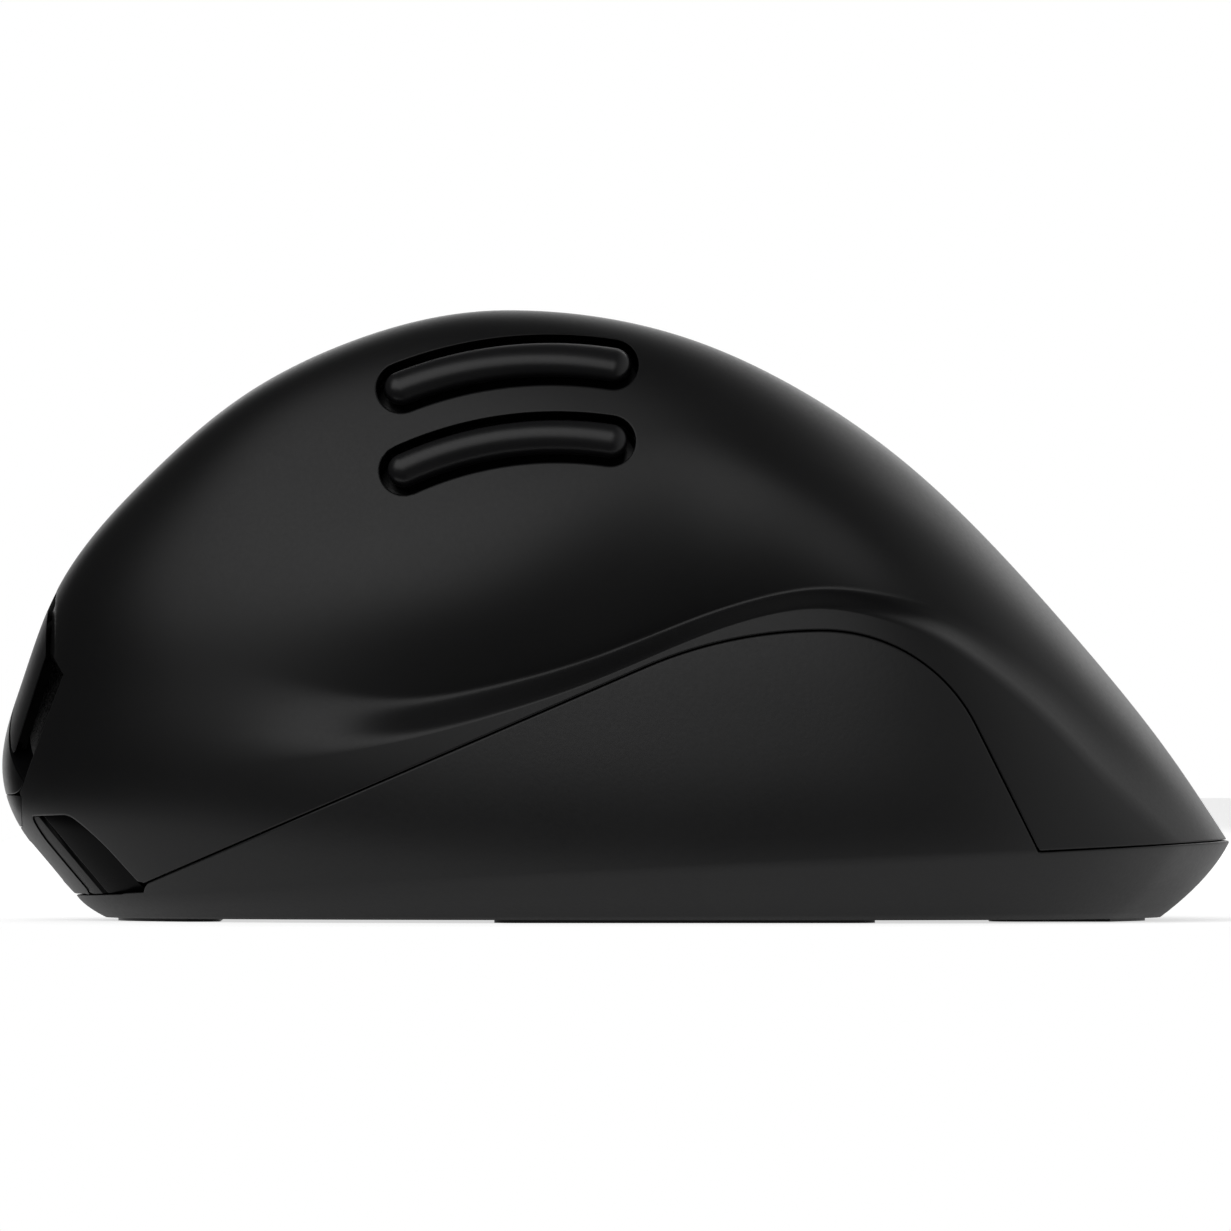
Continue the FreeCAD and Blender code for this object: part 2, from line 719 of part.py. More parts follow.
def split_line(grow):
    """Plan edge of the button plates beside the crest, or of the opening round them."""
    points = []
    for y, x in CREST_SPLIT:
        widening = ease((CREST_GAP_START_Y - y) / CREST_GAP_SPAN)
        gap = CREST_GAP_REAR + (CREST_GAP_NOSE - CREST_GAP_REAR) * widening
        points.append(Vector(x + grow * gap, y, 0))
    line = Part.BSplineCurve()
    line.interpolate(points)
    return line.toShape()


def button_bay(grow):
    """Region of the button plates where grow is 0, and of the opening round them where it is 1."""
    line = split_line(grow)
    start = line.Vertexes[0].Point
    end = line.Vertexes[-1].Point
    outer = [end, Vector(-FAR, end.y, 0), Vector(-FAR, start.y, 0), start]
    plan = Part.Wire([line] + Part.makePolygon(outer).Edges)
    slope = Part.Face(plan).extrude(Vector(0, 0, FAR))
    tail = PLATE_REAR - grow * REAR_GAP
    slope = slope.common(deck_block((tail, FAR), (-FAR, FAR), (-FAR, FAR)))
    edge = SHELL_NOSE_EDGE if grow else PLATE_NOSE_EDGE
    front = side_prism(edge + [(-FAR, edge[-1][1]), (-FAR, edge[0][1])], 0, FAR)
    above = block((-FAR, FAR), (-FAR, FAR), (0, FAR))
    lift = PLATE_FOOT_Z - grow * FOOT_GAP
    tilt = Rotation(Vector(1, 0, 0), math.degrees(math.atan(PLATE_FOOT_SLOPE)))
    above.Placement = Placement(Vector(0, NOSE_Y[2][1], lift), tilt)
    return slope.fuse(front).common(above)


def strip_zone(grow):
    half = STRIP_WIDTH / 2 + grow * STRIP_GAP
    return deck_block((-FAR, FAR), (-half, half), (CUT_BELOW, FAR))


def chin_zone(grow):
    """Region of the black chin under the plates, with the tongue that backs it."""
    zs = (CHIN_FOOT_Z - grow * TRIM_GAP, CHIN_TOP_Z + grow * TRIM_GAP)
    tip = block((-FAR, FAR), (-FAR, CHIN_REAR_Y + grow * TRIM_GAP), zs)
    half = CHIN_HALF_WIDTH + grow * TRIM_GAP
    return tip.fuse(block((-half, half), (-FAR, CHIN_DEPTH_Y), zs))


def inlay_prism():
    return side_prism(INLAY_EDGE, INLAY_START_X, FAR)


def bar_wire(line, half_height):
    """Outline of a curved bar with round ends about a three-point arc seen from the side."""
    points = [Vector(0, y, z) for y, z in line]
    arc = Part.Arc(points[0], points[1], points[2]).toShape().Curve
    centre = arc.Center
    radius = arc.Radius

    def at(point, offset):
        return centre + (point - centre) * ((radius + offset) / radius)

    middle = [at(points[1], half_height), at(points[1], -half_height)]
    ends = []
    for point, neighbour in ((points[0], points[1]), (points[2], points[1])):
        away = (point - centre).cross(Vector(1, 0, 0)).normalize()
        if away.dot(point - neighbour) < 0:
            away = away * -1
        ends.append(point + away * half_height)
    edges = [
        Part.Arc(at(points[0], half_height), middle[0], at(points[2], half_height)).toShape(),
        Part.Arc(at(points[2], half_height), ends[1], at(points[2], -half_height)).toShape(),
        Part.Arc(at(points[2], -half_height), middle[1], at(points[0], -half_height)).toShape(),
        Part.Arc(at(points[0], -half_height), ends[0], at(points[0], half_height)).toShape(),
    ]
    return Part.Wire(edges)


def bar_prism(line, half_height):
    face = Part.Face(bar_wire(line, half_height))
    return moved(face, BAR_START_X, 0, 0).extrude(Vector(FAR, 0, 0))


def moved(shape, x, y, z):
    copy = shape.copy()
    copy.translate(Vector(x, y, z))
    return copy


def pin(x, y, z_low, z_high, radius):
    return Part.makeCylinder(radius, z_high - z_low, Vector(x, y, z_low))


def deck_pin(x, y, z_low, z_high, radius):
    return on_deck(pin(x, y, z_low, z_high, radius))


def body_along_deck(shift):
    """The body's form moved along the deck's outward direction."""
    out = DECK.Rotation.multVec(Vector(0, 0, shift))
    return moved(BODY, out.x, out.y, out.z)


BODY = body_solid()
CAVITY = cavity_solid(WALL)
ROOMY = cavity_solid(WALL + ROOM)
SKIN = BODY.cut(CAVITY)
FLOOR_TOP = UNDERSIDE_Z + FLOOR_WALL
BASE_ZONE = base_zone()
BAY = button_bay(1)
BOARD_TOP = DECK_TOP + BOARD
SWITCH_TOP = BOARD_TOP + MAIN_SWITCH[2]
MAIN_BOARD_TOP = MAIN_BOARD_Z + BOARD
THUMB_BOARD_X = THUMB_WALL_X + THUMB_WALL
THUMB_SWITCH_X = THUMB_BOARD_X + THUMB_BOARD
THUMB_PLUNGER_X = THUMB_SWITCH_X + THUMB_SWITCH_DEPTH
THUMB_STEM_X = THUMB_PLUNGER_X + PLUNGER_HEIGHT + SWITCH_GAP


def wheel_slot():
    """Slot in the strip that the scroll wheel stands out of, with room for its press."""
    half_width = WHEEL_WIDTH / 2 + WHEEL_SLOT_GAP
    reach = WHEEL_RADIUS + WHEEL_SLOT_GAP
    xs = (WHEEL_PLACE - reach, WHEEL_PLACE + reach)
    return deck_block(xs, (-half_width, half_width), (CUT_BELOW, CUT_ABOVE))


def speed_prism(grow):
    xs = (SPEED_PLACE - SPEED_LENGTH / 2 - grow, SPEED_PLACE + SPEED_LENGTH / 2 + grow)
    ys = (-SPEED_WIDTH / 2 - grow, SPEED_WIDTH / 2 + grow)
    return on_deck(rounded_block(xs, ys, (SPEED_HOLE_DEPTH, CUT_ABOVE), SPEED_CORNER))


def socket_prism(clearance, y_low, y_high):
    """Rounded prism along Y of the charging socket or of the hole that it fills."""
    half_width = SOCKET_WIDTH / 2 + clearance
    half_height = SOCKET_HEIGHT / 2 + clearance
    flat = block((-half_width, half_width), (y_low, y_high), (SOCKET_Z - half_height, SOCKET_Z + half_height))
    sides = [edge for edge in flat.Edges if abs(edge.tangentAt(0).y) > 0.9]
    return flat.makeFillet(half_height * SOCKET_ROUND, sides)


def screw_post(x, y, top):
    """Post that takes a self-tapping screw from below."""
    post = pin(x, y, FLOOR_TOP + SEAT_GAP, top, POST_RADIUS)
    return post.cut(pin(x, y, 0, UNDERSIDE_Z + SCREW_LENGTH, SCREW_RADIUS))


def along_hinge(radius, low, high, depth):
    """Rod along a main button's hinge line, in the deck's frame."""
    return Part.makeCylinder(radius, high - low, Vector(HINGE_PLACE, low, depth), Vector(0, 1, 0))


def hinge_bracket(side, depth):
    """Two cheeks under the shell's edge, with the pin that a main button swings on."""
    inner = LUG_WIDTH / 2 + HINGE_SIDE_GAP
    outer = inner + HINGE_CHEEK
    shape = along_hinge(HINGE_PIN_RADIUS, side - outer, side + outer, depth)
    rear = HINGE_PLACE - HINGE_ARM
    arm = ((rear, HINGE_PLACE + LUG_RADIUS), (depth - LUG_RADIUS, depth + LUG_RADIUS))
    root = ((rear, PLATE_REAR - REAR_GAP - SEAT_GAP), (depth - LUG_RADIUS, 0))
    for ys in ((side - outer, side - inner), (side + inner, side + outer)):
        for xs, zs in (arm, root):
            shape = shape.fuse(block(xs, ys, zs))
    return on_deck(shape).common(body_along_deck(-FOOT_SINK))


def hinge_lug(side, depth):
    """Barrel under a main button that turns on the pin, on a short web."""
    half = LUG_WIDTH / 2
    barrel = along_hinge(LUG_RADIUS, side - half, side + half, depth)
    xs = (PLATE_REAR + LUG_WEB_INSET, HINGE_PLACE + LUG_WEB / 2)
    web = block(xs, (side - half, side + half), (depth, 0))
    bore = along_hinge(HINGE_PIN_RADIUS + HINGE_CLEARANCE, side - half, side + half, depth)
    return on_deck(barrel.fuse(web).cut(bore)).common(body_along_deck(-FOOT_SINK))


def main_shell():
    """Thumb wall, palm and tail in one moulding, open over the buttons and under the arch."""
    shell = SKIN.cut(BASE_ZONE).cut(BAY)
    shell = shell.cut(chin_zone(1)).cut(inlay_prism())
    shell = shell.cut(bar_prism(UPPER_BAR, SLOT_HALF_HEIGHT))
    shell = shell.cut(bar_prism(LOWER_BAR, SLOT_HALF_HEIGHT))
    shell = shell.cut(socket_prism(SOCKET_CLEARANCE, -FAR, SOCKET_CUT_Y))
    for x, y in (SCREW_PLACES[0], SCREW_PLACES[2], SCREW_PLACES[3]):
        post = screw_post(x, y, FAR)
        shell = shell.fuse(post.common(ROOMY)).fuse(post.common(BODY).cut(BASE_ZONE))
    for side, depth in HINGES:
        shell = shell.fuse(hinge_bracket(side, depth))
    return shell


def base_shell():
    """Tray with the arched thumb-side panel, standoffs, battery fence and recesses for the skates."""
    base = SKIN.common(BASE_ZONE).cut(inlay_prism())
    for x, y in STANDOFFS:
        base = base.fuse(pin(x, y, FLOOR_TOP - BOSS_SINK, MAIN_BOARD_Z, STANDOFF_RADIUS))
    fence = block(
        (BATTERY_X[0] - SEAT_GAP - FENCE, BATTERY_X[1] + SEAT_GAP + FENCE),
        (BATTERY_Y[0] - SEAT_GAP - FENCE, BATTERY_Y[1] + SEAT_GAP + FENCE),
        (FLOOR_TOP - BOSS_SINK, FLOOR_TOP + FENCE_HEIGHT),
    )
    pocket = block(
        (BATTERY_X[0] - SEAT_GAP, BATTERY_X[1] + SEAT_GAP),
        (BATTERY_Y[0] - SEAT_GAP, BATTERY_Y[1] + SEAT_GAP),
        (FLOOR_TOP - BOSS_SINK, FAR),
    )
    base = base.fuse(fence.cut(pocket))
    for x, y in STANDOFFS:
        base = base.cut(pin(x, y, FLOOR_TOP, FAR, BOARD_SCREW_RADIUS))
    for x, y in SCREW_PLACES:
        base = base.cut(pin(x, y, 0, FLOOR_TOP + 1, SCREW_RADIUS + SEAT_GAP))
        base = base.cut(pin(x, y, 0, UNDERSIDE_Z + SCREW_HEAD, SCREW_HEAD_RADIUS + SEAT_GAP))
    for _, *size in SKATES:
        base = base.cut(skate(*size, SKATE_GAP, UNDERSIDE_Z + SKATE_RECESS))
    base = base.cut(lens_window(LENS_CLEARANCE, 0, FLOOR_TOP + 1))
    base = base.cut(power_slot(0))
    return base.cut(pin(PAIR_X, POWER_Y, 0, FLOOR_TOP + 1, PAIR_RADIUS + SEAT_GAP))


def underside_prism(inset, top):
    """Upright prism on the underside's outline, drawn in by an even inset."""
    ring = [bowl_point(a, 0.0) for a in ring_azimuths(COLUMN_COUNT)]
    points = []
    for before, point, after in zip(ring[-1:] + ring[:-1], ring, ring[1:] + ring[:1]):
        inward = Vector(0, 0, 1).cross(after - before).normalize() * inset
        points.append(Vector(point.x + inward.x, point.y + inward.y, 0))
    line = Part.BSplineCurve()
    line.interpolate(Points=points, PeriodicFlag=True)
    return Part.Face(Part.Wire([line.toShape()])).extrude(Vector(0, 0, top))


def skate(x, front, rear, width, radius, grow, top):
    """Skate that follows the underside's edge, or with grow the recess that it is stuck in."""
    xs = (x - width / 2 - grow, x + width / 2 + grow)
    pad = rounded_block(xs, (front - grow, rear + grow), (0, top), radius)
    return pad.common(underside_prism(SKATE_MARGIN - grow, top))


def lens_window(grow, z_low, z_high):
    xs = (-LENS_WIDTH / 2 - grow, LENS_WIDTH / 2 + grow)
    ys = (LENS_Y - LENS_LENGTH / 2 - grow, LENS_Y + LENS_LENGTH / 2 + grow)
    return rounded_block(xs, ys, (z_low, z_high), LENS_CORNER)


def power_slot(grow):
    half = POWER_SLOT[0] / 2 - grow
    length = POWER_SLOT[1] / 2 - grow
    xs = (POWER_X - half, POWER_X + half)
    return block(xs, (POWER_Y - length, POWER_Y + length), (0, FLOOR_TOP + 1))


def button_plates():
    """The two main buttons, cut from the skin of the finger-side slope, with their click posts."""
    plates = SKIN.common(button_bay(0)).cut(strip_zone(1))
    upper, lower = sorted(plates.Solids, key=lambda s: s.Volume, reverse=True)[:2]
    if upper.CenterOfMass.z < lower.CenterOfMass.z:
        upper, lower = lower, upper
    foot = SWITCH_TOP + PLUNGER_HEIGHT + SWITCH_GAP
    placed = []
    for plate, side, hinge in ((upper, LEFT_SWITCH_SIDE, HINGES[0]), (lower, RIGHT_SWITCH_SIDE, HINGES[1])):
        post = deck_pin(MAIN_SWITCH_PLACE, side, foot, 0, CLICK_POST_RADIUS)
        post = post.common(body_along_deck(-FOOT_SINK))
        placed.append(plate.fuse(post).fuse(hinge_lug(*hinge)))
    return placed


def strip_foot(place, grow, depth):
    """Foot of the strip on the deck, or with grow the room that it needs."""
    half_x, half_y = STRIP_FOOT_HALF
    xs = (place - half_x - grow, place + half_x + grow)
    return deck_block(xs, (-half_y - grow, half_y + grow), (depth, 0))


def centre_strip():
    """Strip between the plates with the wheel slot and the hole for the speed button."""
    zone = BAY.common(strip_zone(0)).common(deck_block((PLATE_REAR, FAR), (-FAR, FAR), (-FAR, FAR)))
    zone = zone.cut(chin_zone(1))
    strip = SKIN.common(zone).cut(wheel_slot()).cut(speed_prism(SPEED_GAP))
    for place in STRIP_FEET:
        foot = strip_foot(place, 0, DECK_TOP + SEAT_GAP)
        strip = strip.fuse(foot.common(body_along_deck(-FOOT_SINK)))
    return max(strip.Solids, key=lambda s: s.Volume)


def chin():
    piece = BODY.common(chin_zone(0)).cut(socket_prism(SOCKET_CLEARANCE, -FAR, SOCKET_CUT_Y))
    return piece.cut(block((-FAR, FAR), (CHIN_DEPTH_Y, FAR), (0, FAR)))


def inlay_form(depth):
    """The body's form sunk at the corner of the nose, and tilted in about the inlay's nose edge."""
    top = point_at(*INLAY_EDGE[5], 1)
    foot = point_at(*INLAY_EDGE[4], 1)
    form = BODY.copy()
    form.rotate(top, foot - top, -INLAY_TILT)
    form.translate(Vector(*INLAY_INWARD) * depth)
    return form


def nose_inlay():
    """Trim let into the thumb-side corner of the nose, deeper towards the thumb, with one seam."""
    outer = inlay_form(INLAY_RECESS)
    shape = outer.cut(inlay_form(INLAY_RECESS + INLAY_WALL)).common(inlay_prism())
    top = Vector(0, *INLAY_EDGE[5])
    foot = Vector(0, *INLAY_EDGE[4])
    across = (foot - top).cross(Vector(-1, 0, 0)).normalize()
    reach = (foot - top).normalize() * INLAY_SEAM_WIDTH * 20
    edges = [INLAY_SEAM_PLACE, INLAY_SEAM_PLACE + INLAY_SEAM_WIDTH]
    low, high = [across * place for place in edges]
    corners = [top - reach + low, foot + reach + low, foot + reach + high, top - reach + high]
    band = side_prism([(corner.y, corner.z) for corner in corners], INLAY_START_X, FAR)
    seam = outer.common(band).cut(inlay_form(INLAY_RECESS + INLAY_SEAM_DEPTH))
    return max(shape.cut(seam).Solids, key=lambda s: s.Volume)


def charging_socket():
    """Metal shell of the charging socket, with the tongue that carries its contacts."""
    rear = SOCKET_MOUTH_Y + SOCKET_LENGTH
    outer = socket_prism(0, SOCKET_MOUTH_Y, rear)
    bore = socket_prism(-SOCKET_WALL, -FAR, rear - SOCKET_BACK)
    xs = (-CONTACT_WIDTH / 2, CONTACT_WIDTH / 2)
    zs = (SOCKET_Z - CONTACT_THICKNESS / 2, SOCKET_Z + CONTACT_THICKNESS / 2)
    tongue = block(xs, (SOCKET_MOUTH_Y + CONTACT_SET_BACK, rear - SOCKET_BACK), zs)
    return outer.cut(bore).fuse(tongue)


def deck_plate(grow):
    """Sloping plate under the buttons, or with grow the room that is kept clear round it."""
    xs = (DECK_TAIL - grow, DECK_NOSE + grow)
    ys = (DECK_FOOT - grow, DECK_CREST + grow)
    return deck_block(xs, ys, (DECK_TOP - DECK_THICKNESS - grow, DECK_TOP + grow))


def inner_frame():
    """Deck that carries the wheel and the switches, its legs, and the wall for the thumb switches."""
    half_width = WHEEL_WIDTH / 2 + WHEEL_SLOT_GAP
    reach = WHEEL_RADIUS + WHEEL_SLOT_GAP
    well = ((WHEEL_PLACE - reach, WHEEL_PLACE + reach), (-half_width, half_width), (CUT_BELOW, 0))
    wall_foot = LOWER_BAR[1][1] - THUMB_WALL_BELOW
    wall_top = UPPER_BAR[1][1] + THUMB_WALL_ABOVE
    wall = block((THUMB_WALL_X, THUMB_BOARD_X), THUMB_WALL_Y, (wall_foot, wall_top))
    beyond_wall = block((THUMB_BOARD_X, FAR), THUMB_WALL_Y, (wall_foot, FAR))
    frame = deck_plate(0).cut(beyond_wall).fuse(wall).common(ROOMY).cut(deck_block(*well))
    under_deck = deck_block((-FAR, FAR), (-FAR, FAR), (-FAR, DECK_TOP - DECK_THICKNESS / 2))
    x, y = SCREW_PLACES[1]
    frame = frame.fuse(screw_post(x, y, FAR).common(under_deck).common(ROOMY))
    for xs, ys in (FINGER_LEG, THUMB_LEG):
        leg = block(xs, ys, (FLOOR_TOP + SEAT_GAP, wall_foot + THUMB_WALL)).common(under_deck)
        frame = frame.fuse(leg.common(ROOMY))
    return max(frame.Solids, key=lambda s: s.Volume)


def button_board():
    """Switch board on the nose half of the deck, cut out round the wheel."""
    outer = deck_block(BUTTON_BOARD_PLACES, BUTTON_BOARD_SIDES, (DECK_TOP, BOARD_TOP)).common(ROOMY)
    front = WHEEL_PLACE + WHEEL_RADIUS + BOARD_WELL_GAP
    well = deck_block((-FAR, front), (-BOARD_WELL_SIDE, BOARD_WELL_SIDE), (CUT_BELOW, 0))
    notch = strip_foot(STRIP_FEET[1], BOARD_NOTCH_GAP, CUT_BELOW)
    return max(outer.cut(well).cut(notch).Solids, key=lambda s: s.Volume)


def main_switch(side):
    length, width, height = MAIN_SWITCH
    xs = (MAIN_SWITCH_PLACE - length / 2, MAIN_SWITCH_PLACE + length / 2)
    body = deck_block(xs, (side - width / 2, side + width / 2), (BOARD_TOP, BOARD_TOP + height))
    well = SWITCH_TOP - PLUNGER_WELL
    return body.cut(deck_pin(MAIN_SWITCH_PLACE, side, well, 0, PLUNGER_RADIUS + PLUNGER_CLEARANCE))


def main_plunger(side):
    foot = SWITCH_TOP - PLUNGER_SINK
    return deck_pin(MAIN_SWITCH_PLACE, side, foot, SWITCH_TOP + PLUNGER_HEIGHT, PLUNGER_RADIUS)


def tact_switch(place, height):
    """Tall press switch standing on the deck."""
    half = TACT_WIDTH / 2
    body = deck_block((place - half, place + half), (-half, half), (DECK_TOP, DECK_TOP + height))
    well = DECK_TOP + height - PLUNGER_WELL
    return body.cut(deck_pin(place, 0, well, 0, PLUNGER_RADIUS + PLUNGER_CLEARANCE))


def tact_plunger(place, height):
    top = DECK_TOP + height
    return deck_pin(place, 0, top - PLUNGER_SINK, top + PLUNGER_HEIGHT, PLUNGER_RADIUS)


def speed_button():
    above = deck_block((-FAR, FAR), (-FAR, FAR), (SPEED_CAP_DEPTH, FAR))
    cap = body_along_deck(SPEED_PROUD).common(speed_prism(0)).common(above)
    foot = DECK_TOP + SPEED_SWITCH_HEIGHT + PLUNGER_HEIGHT + SWITCH_GAP
    return cap.fuse(deck_pin(SPEED_PLACE, 0, foot, SPEED_CAP_DEPTH + SPEED_STEM_SINK, SPEED_STEM_RADIUS))


def across_wheel(radius, y_low, y_high):
    """Disc about the wheel's axis, in the deck's frame."""
    return Part.makeCylinder(
        radius, y_high - y_low, Vector(WHEEL_PLACE, y_low, WHEEL_DEPTH), Vector(0, 1, 0)
    )


def wheel_rod(turn, circle, radius, length):
    """Rod along the wheel's axis at a share of a turn on a circle about it."""
    x = WHEEL_PLACE + circle * math.cos(2 * math.pi * turn)
    z = WHEEL_DEPTH + circle * math.sin(2 * math.pi * turn)
    return Part.makeCylinder(radius, length, Vector(x, -length / 2, z), Vector(0, 1, 0))


def scroll_hub():
    """Wheel core: a rim, a web with holes and a boss on the axle."""
    half = WHEEL_WIDTH / 2
    rim_radius = WHEEL_RADIUS - TYRE_THICKNESS
    hub = across_wheel(rim_radius, -half, half)
    for low, high in ((HUB_WEB / 2, half), (-half, -HUB_WEB / 2)):
        hub = hub.cut(across_wheel(rim_radius - HUB_RIM, low, high))
    hub = hub.fuse(across_wheel(HUB_BOSS_RADIUS, -half, half))
    for i in range(HUB_HOLES):
        hub = hub.cut(wheel_rod(i / HUB_HOLES, HUB_HOLE_CIRCLE, HUB_HOLE_RADIUS, WHEEL_WIDTH))
    return on_deck(hub.cut(across_wheel(AXLE_RADIUS, -half, half)))


def wheel_tyre():
    """Rubber tyre with shallow grip grooves across its tread."""
    half = WHEEL_WIDTH / 2
    outer = across_wheel(WHEEL_RADIUS, -half, half)
    rims = [edge for edge in outer.Edges if len(edge.Vertexes) == 1]
    tyre = outer.makeFillet(TYRE_ROUND, rims).cut(across_wheel(WHEEL_RADIUS - TYRE_THICKNESS, -half, half))
    for i in range(TYRE_GROOVES):
        tyre = tyre.cut(wheel_rod(i / TYRE_GROOVES, WHEEL_RADIUS + GROOVE_LIFT, GROOVE_RADIUS, GROOVE_LENGTH))
    return on_deck(tyre)


def wheel_axle():
    return on_deck(across_wheel(AXLE_RADIUS, -AXLE_REACH, CHEEK_INNER + CHEEK_THICKNESS + AXLE_STUB))


def wheel_carrier():
    """Yoke that holds the axle and tips the middle switch when the wheel is pressed."""
    foot = DECK_TOP + PRESS_TRAVEL + PRESS_GAP
    outer = CHEEK_INNER + CHEEK_THICKNESS
    rear = WHEEL_PLACE - YOKE_REACH
    top = WHEEL_DEPTH + YOKE_TOP
    cheek = ((WHEEL_PLACE - CHEEK_HALF, WHEEL_PLACE + CHEEK_HALF), (foot, WHEEL_DEPTH + CHEEK_TOP))
    rail = ((rear, WHEEL_PLACE - CHEEK_HALF), (foot, WHEEL_DEPTH - RAIL_DROP))
    shape = block((rear, rear + YOKE_WALL), (-outer, outer), (YOKE_FOOT, top))
    for ys in ((CHEEK_INNER, outer), (-outer, -CHEEK_INNER)):
        for xs, zs in (cheek, rail):
            shape = shape.fuse(block(xs, ys, zs))
    switch_top = DECK_TOP + MIDDLE_SWITCH_HEIGHT + PLUNGER_HEIGHT + SWITCH_GAP
    tongue_places = (MIDDLE_SWITCH_PLACE - TONGUE_HALF, rear + YOKE_WALL / 2)
    tongue = block(tongue_places, (-TONGUE_HALF, TONGUE_HALF), (switch_top, top))
    bore = across_wheel(AXLE_RADIUS + AXLE_CLEARANCE, -FAR, FAR)
    return on_deck(shape.fuse(tongue).cut(bore))


def wheel_encoder():
    """Rotary encoder beside the wheel; the axle's end turns in its bore."""
    outer = CHEEK_INNER + CHEEK_THICKNESS
    xs = (WHEEL_PLACE - ENCODER_HALF, WHEEL_PLACE + ENCODER_HALF)
    body = block(xs, (-outer - ENCODER_THICKNESS, -outer), (ENCODER_FOOT, WHEEL_DEPTH + ENCODER_TOP))
    return on_deck(body.cut(across_wheel(AXLE_RADIUS + AXLE_CLEARANCE, -FAR, FAR)))


def thumb_bar(line):
    """Button bar proud of its slot, with the stem that reaches its switch."""
    cap = moved(BODY, BAR_PROUD, 0, 0).cut(moved(BODY, BAR_PROUD - BAR_DEPTH, 0, 0))
    cap = cap.common(bar_prism(line, SLOT_HALF_HEIGHT - BAR_GAP))
    y, z = line[1]
    foot = THUMB_STEM_X
    stem = Part.makeCylinder(THUMB_STEM, FAR, Vector(foot, y, z), Vector(1, 0, 0)).common(BODY)
    return cap.fuse(stem)


def thumb_board():
    zs = (LOWER_BAR[1][1] - THUMB_BOARD_BELOW, UPPER_BAR[1][1] + THUMB_BOARD_ABOVE)
    return block((THUMB_BOARD_X, THUMB_SWITCH_X), THUMB_BOARD_Y, zs).common(ROOMY)


def thumb_switch(line):
    y, z = line[1]
    half = TACT_WIDTH / 2
    zs = (z - THUMB_SWITCH_HEIGHT / 2, z + THUMB_SWITCH_HEIGHT / 2)
    body = block((THUMB_SWITCH_X, THUMB_PLUNGER_X), (y - half, y + half), zs)
    start = Vector(THUMB_PLUNGER_X - PLUNGER_WELL, y, z)
    return body.cut(Part.makeCylinder(PLUNGER_RADIUS + PLUNGER_CLEARANCE, FAR, start, Vector(1, 0, 0)))


def thumb_plunger(line):
    y, z = line[1]
    start = Vector(THUMB_PLUNGER_X - PLUNGER_SINK, y, z)
    return Part.makeCylinder(PLUNGER_RADIUS, PLUNGER_HEIGHT + PLUNGER_SINK, start, Vector(1, 0, 0))


def main_board():
    """Main circuit board on its four standoffs, notched round the frame's posts and its deck."""
    board = block(MAIN_BOARD_X, MAIN_BOARD_Y, (MAIN_BOARD_Z, MAIN_BOARD_TOP)).common(ROOMY)
    for x, y in STANDOFFS:
        board = board.cut(pin(x, y, 0, FAR, BOARD_SCREW_RADIUS + BOARD_HOLE_GAP))
    for x, y in SCREW_PLACES[:2]:
        board = board.cut(pin(x, y, 0, FAR, POST_RADIUS + LEG_NOTCH))
    xs, ys = THUMB_LEG
    notch = block((xs[0] - LEG_NOTCH, xs[1] + LEG_NOTCH), (ys[0] - LEG_NOTCH, ys[1] + LEG_NOTCH), (0, FAR))
    board = board.cut(notch).cut(deck_plate(LEG_NOTCH))
    return max(board.Solids, key=lambda s: s.Volume)


def board_screws():
    """Four pan-head screws that hold the main board."""
    head_radius, head_height = BOARD_SCREW_HEAD
    screws = []
    for x, y in STANDOFFS:
        foot = MAIN_BOARD_Z - BOARD_SCREW_LENGTH
        shank = pin(x, y, foot, MAIN_BOARD_TOP, BOARD_SCREW_RADIUS - SCREW_CLEARANCE)
        screws.append(shank.fuse(pin(x, y, MAIN_BOARD_TOP, MAIN_BOARD_TOP + head_height, head_radius)))
    return Part.makeCompound(screws)


def housing_screws():
    """Four screws through the underside into the posts of the shell and the frame."""
    screws = []
    for x, y in SCREW_PLACES:
        low = UNDERSIDE_Z + SKATE_RECESS + SCREW_SINK
        shank = pin(x, y, low, UNDERSIDE_Z + SCREW_LENGTH - SCREW_TIP_GAP, SCREW_RADIUS - SCREW_CLEARANCE)
        screws.append(shank.fuse(pin(x, y, low, UNDERSIDE_Z + SCREW_HEAD, SCREW_HEAD_RADIUS)))
    return Part.makeCompound(screws)


def sensor_lens():
    """Clear lens that plugs the window in the underside, its flange on the floor."""
    plug = lens_window(-LENS_CLEARANCE, UNDERSIDE_Z + LENS_RECESS, FLOOR_TOP + BOSS_SINK)
    flange = lens_window(LENS_FLANGE, FLOOR_TOP, FLOOR_TOP + LENS_FLANGE_THICKNESS)
    return plug.fuse(flange)


def optical_sensor():
    half_x = SENSOR_SIZE[0] / 2
    half_y = SENSOR_SIZE[1] / 2
    foot = FLOOR_TOP + LENS_FLANGE_THICKNESS + SEAT_GAP
    return block((-half_x, half_x), (LENS_Y - half_y, LENS_Y + half_y), (foot, MAIN_BOARD_Z))


def battery():
    foot = FLOOR_TOP + SEAT_GAP
    return rounded_block(BATTERY_X, BATTERY_Y, (foot, foot + BATTERY_HEIGHT), BATTERY_CORNER)


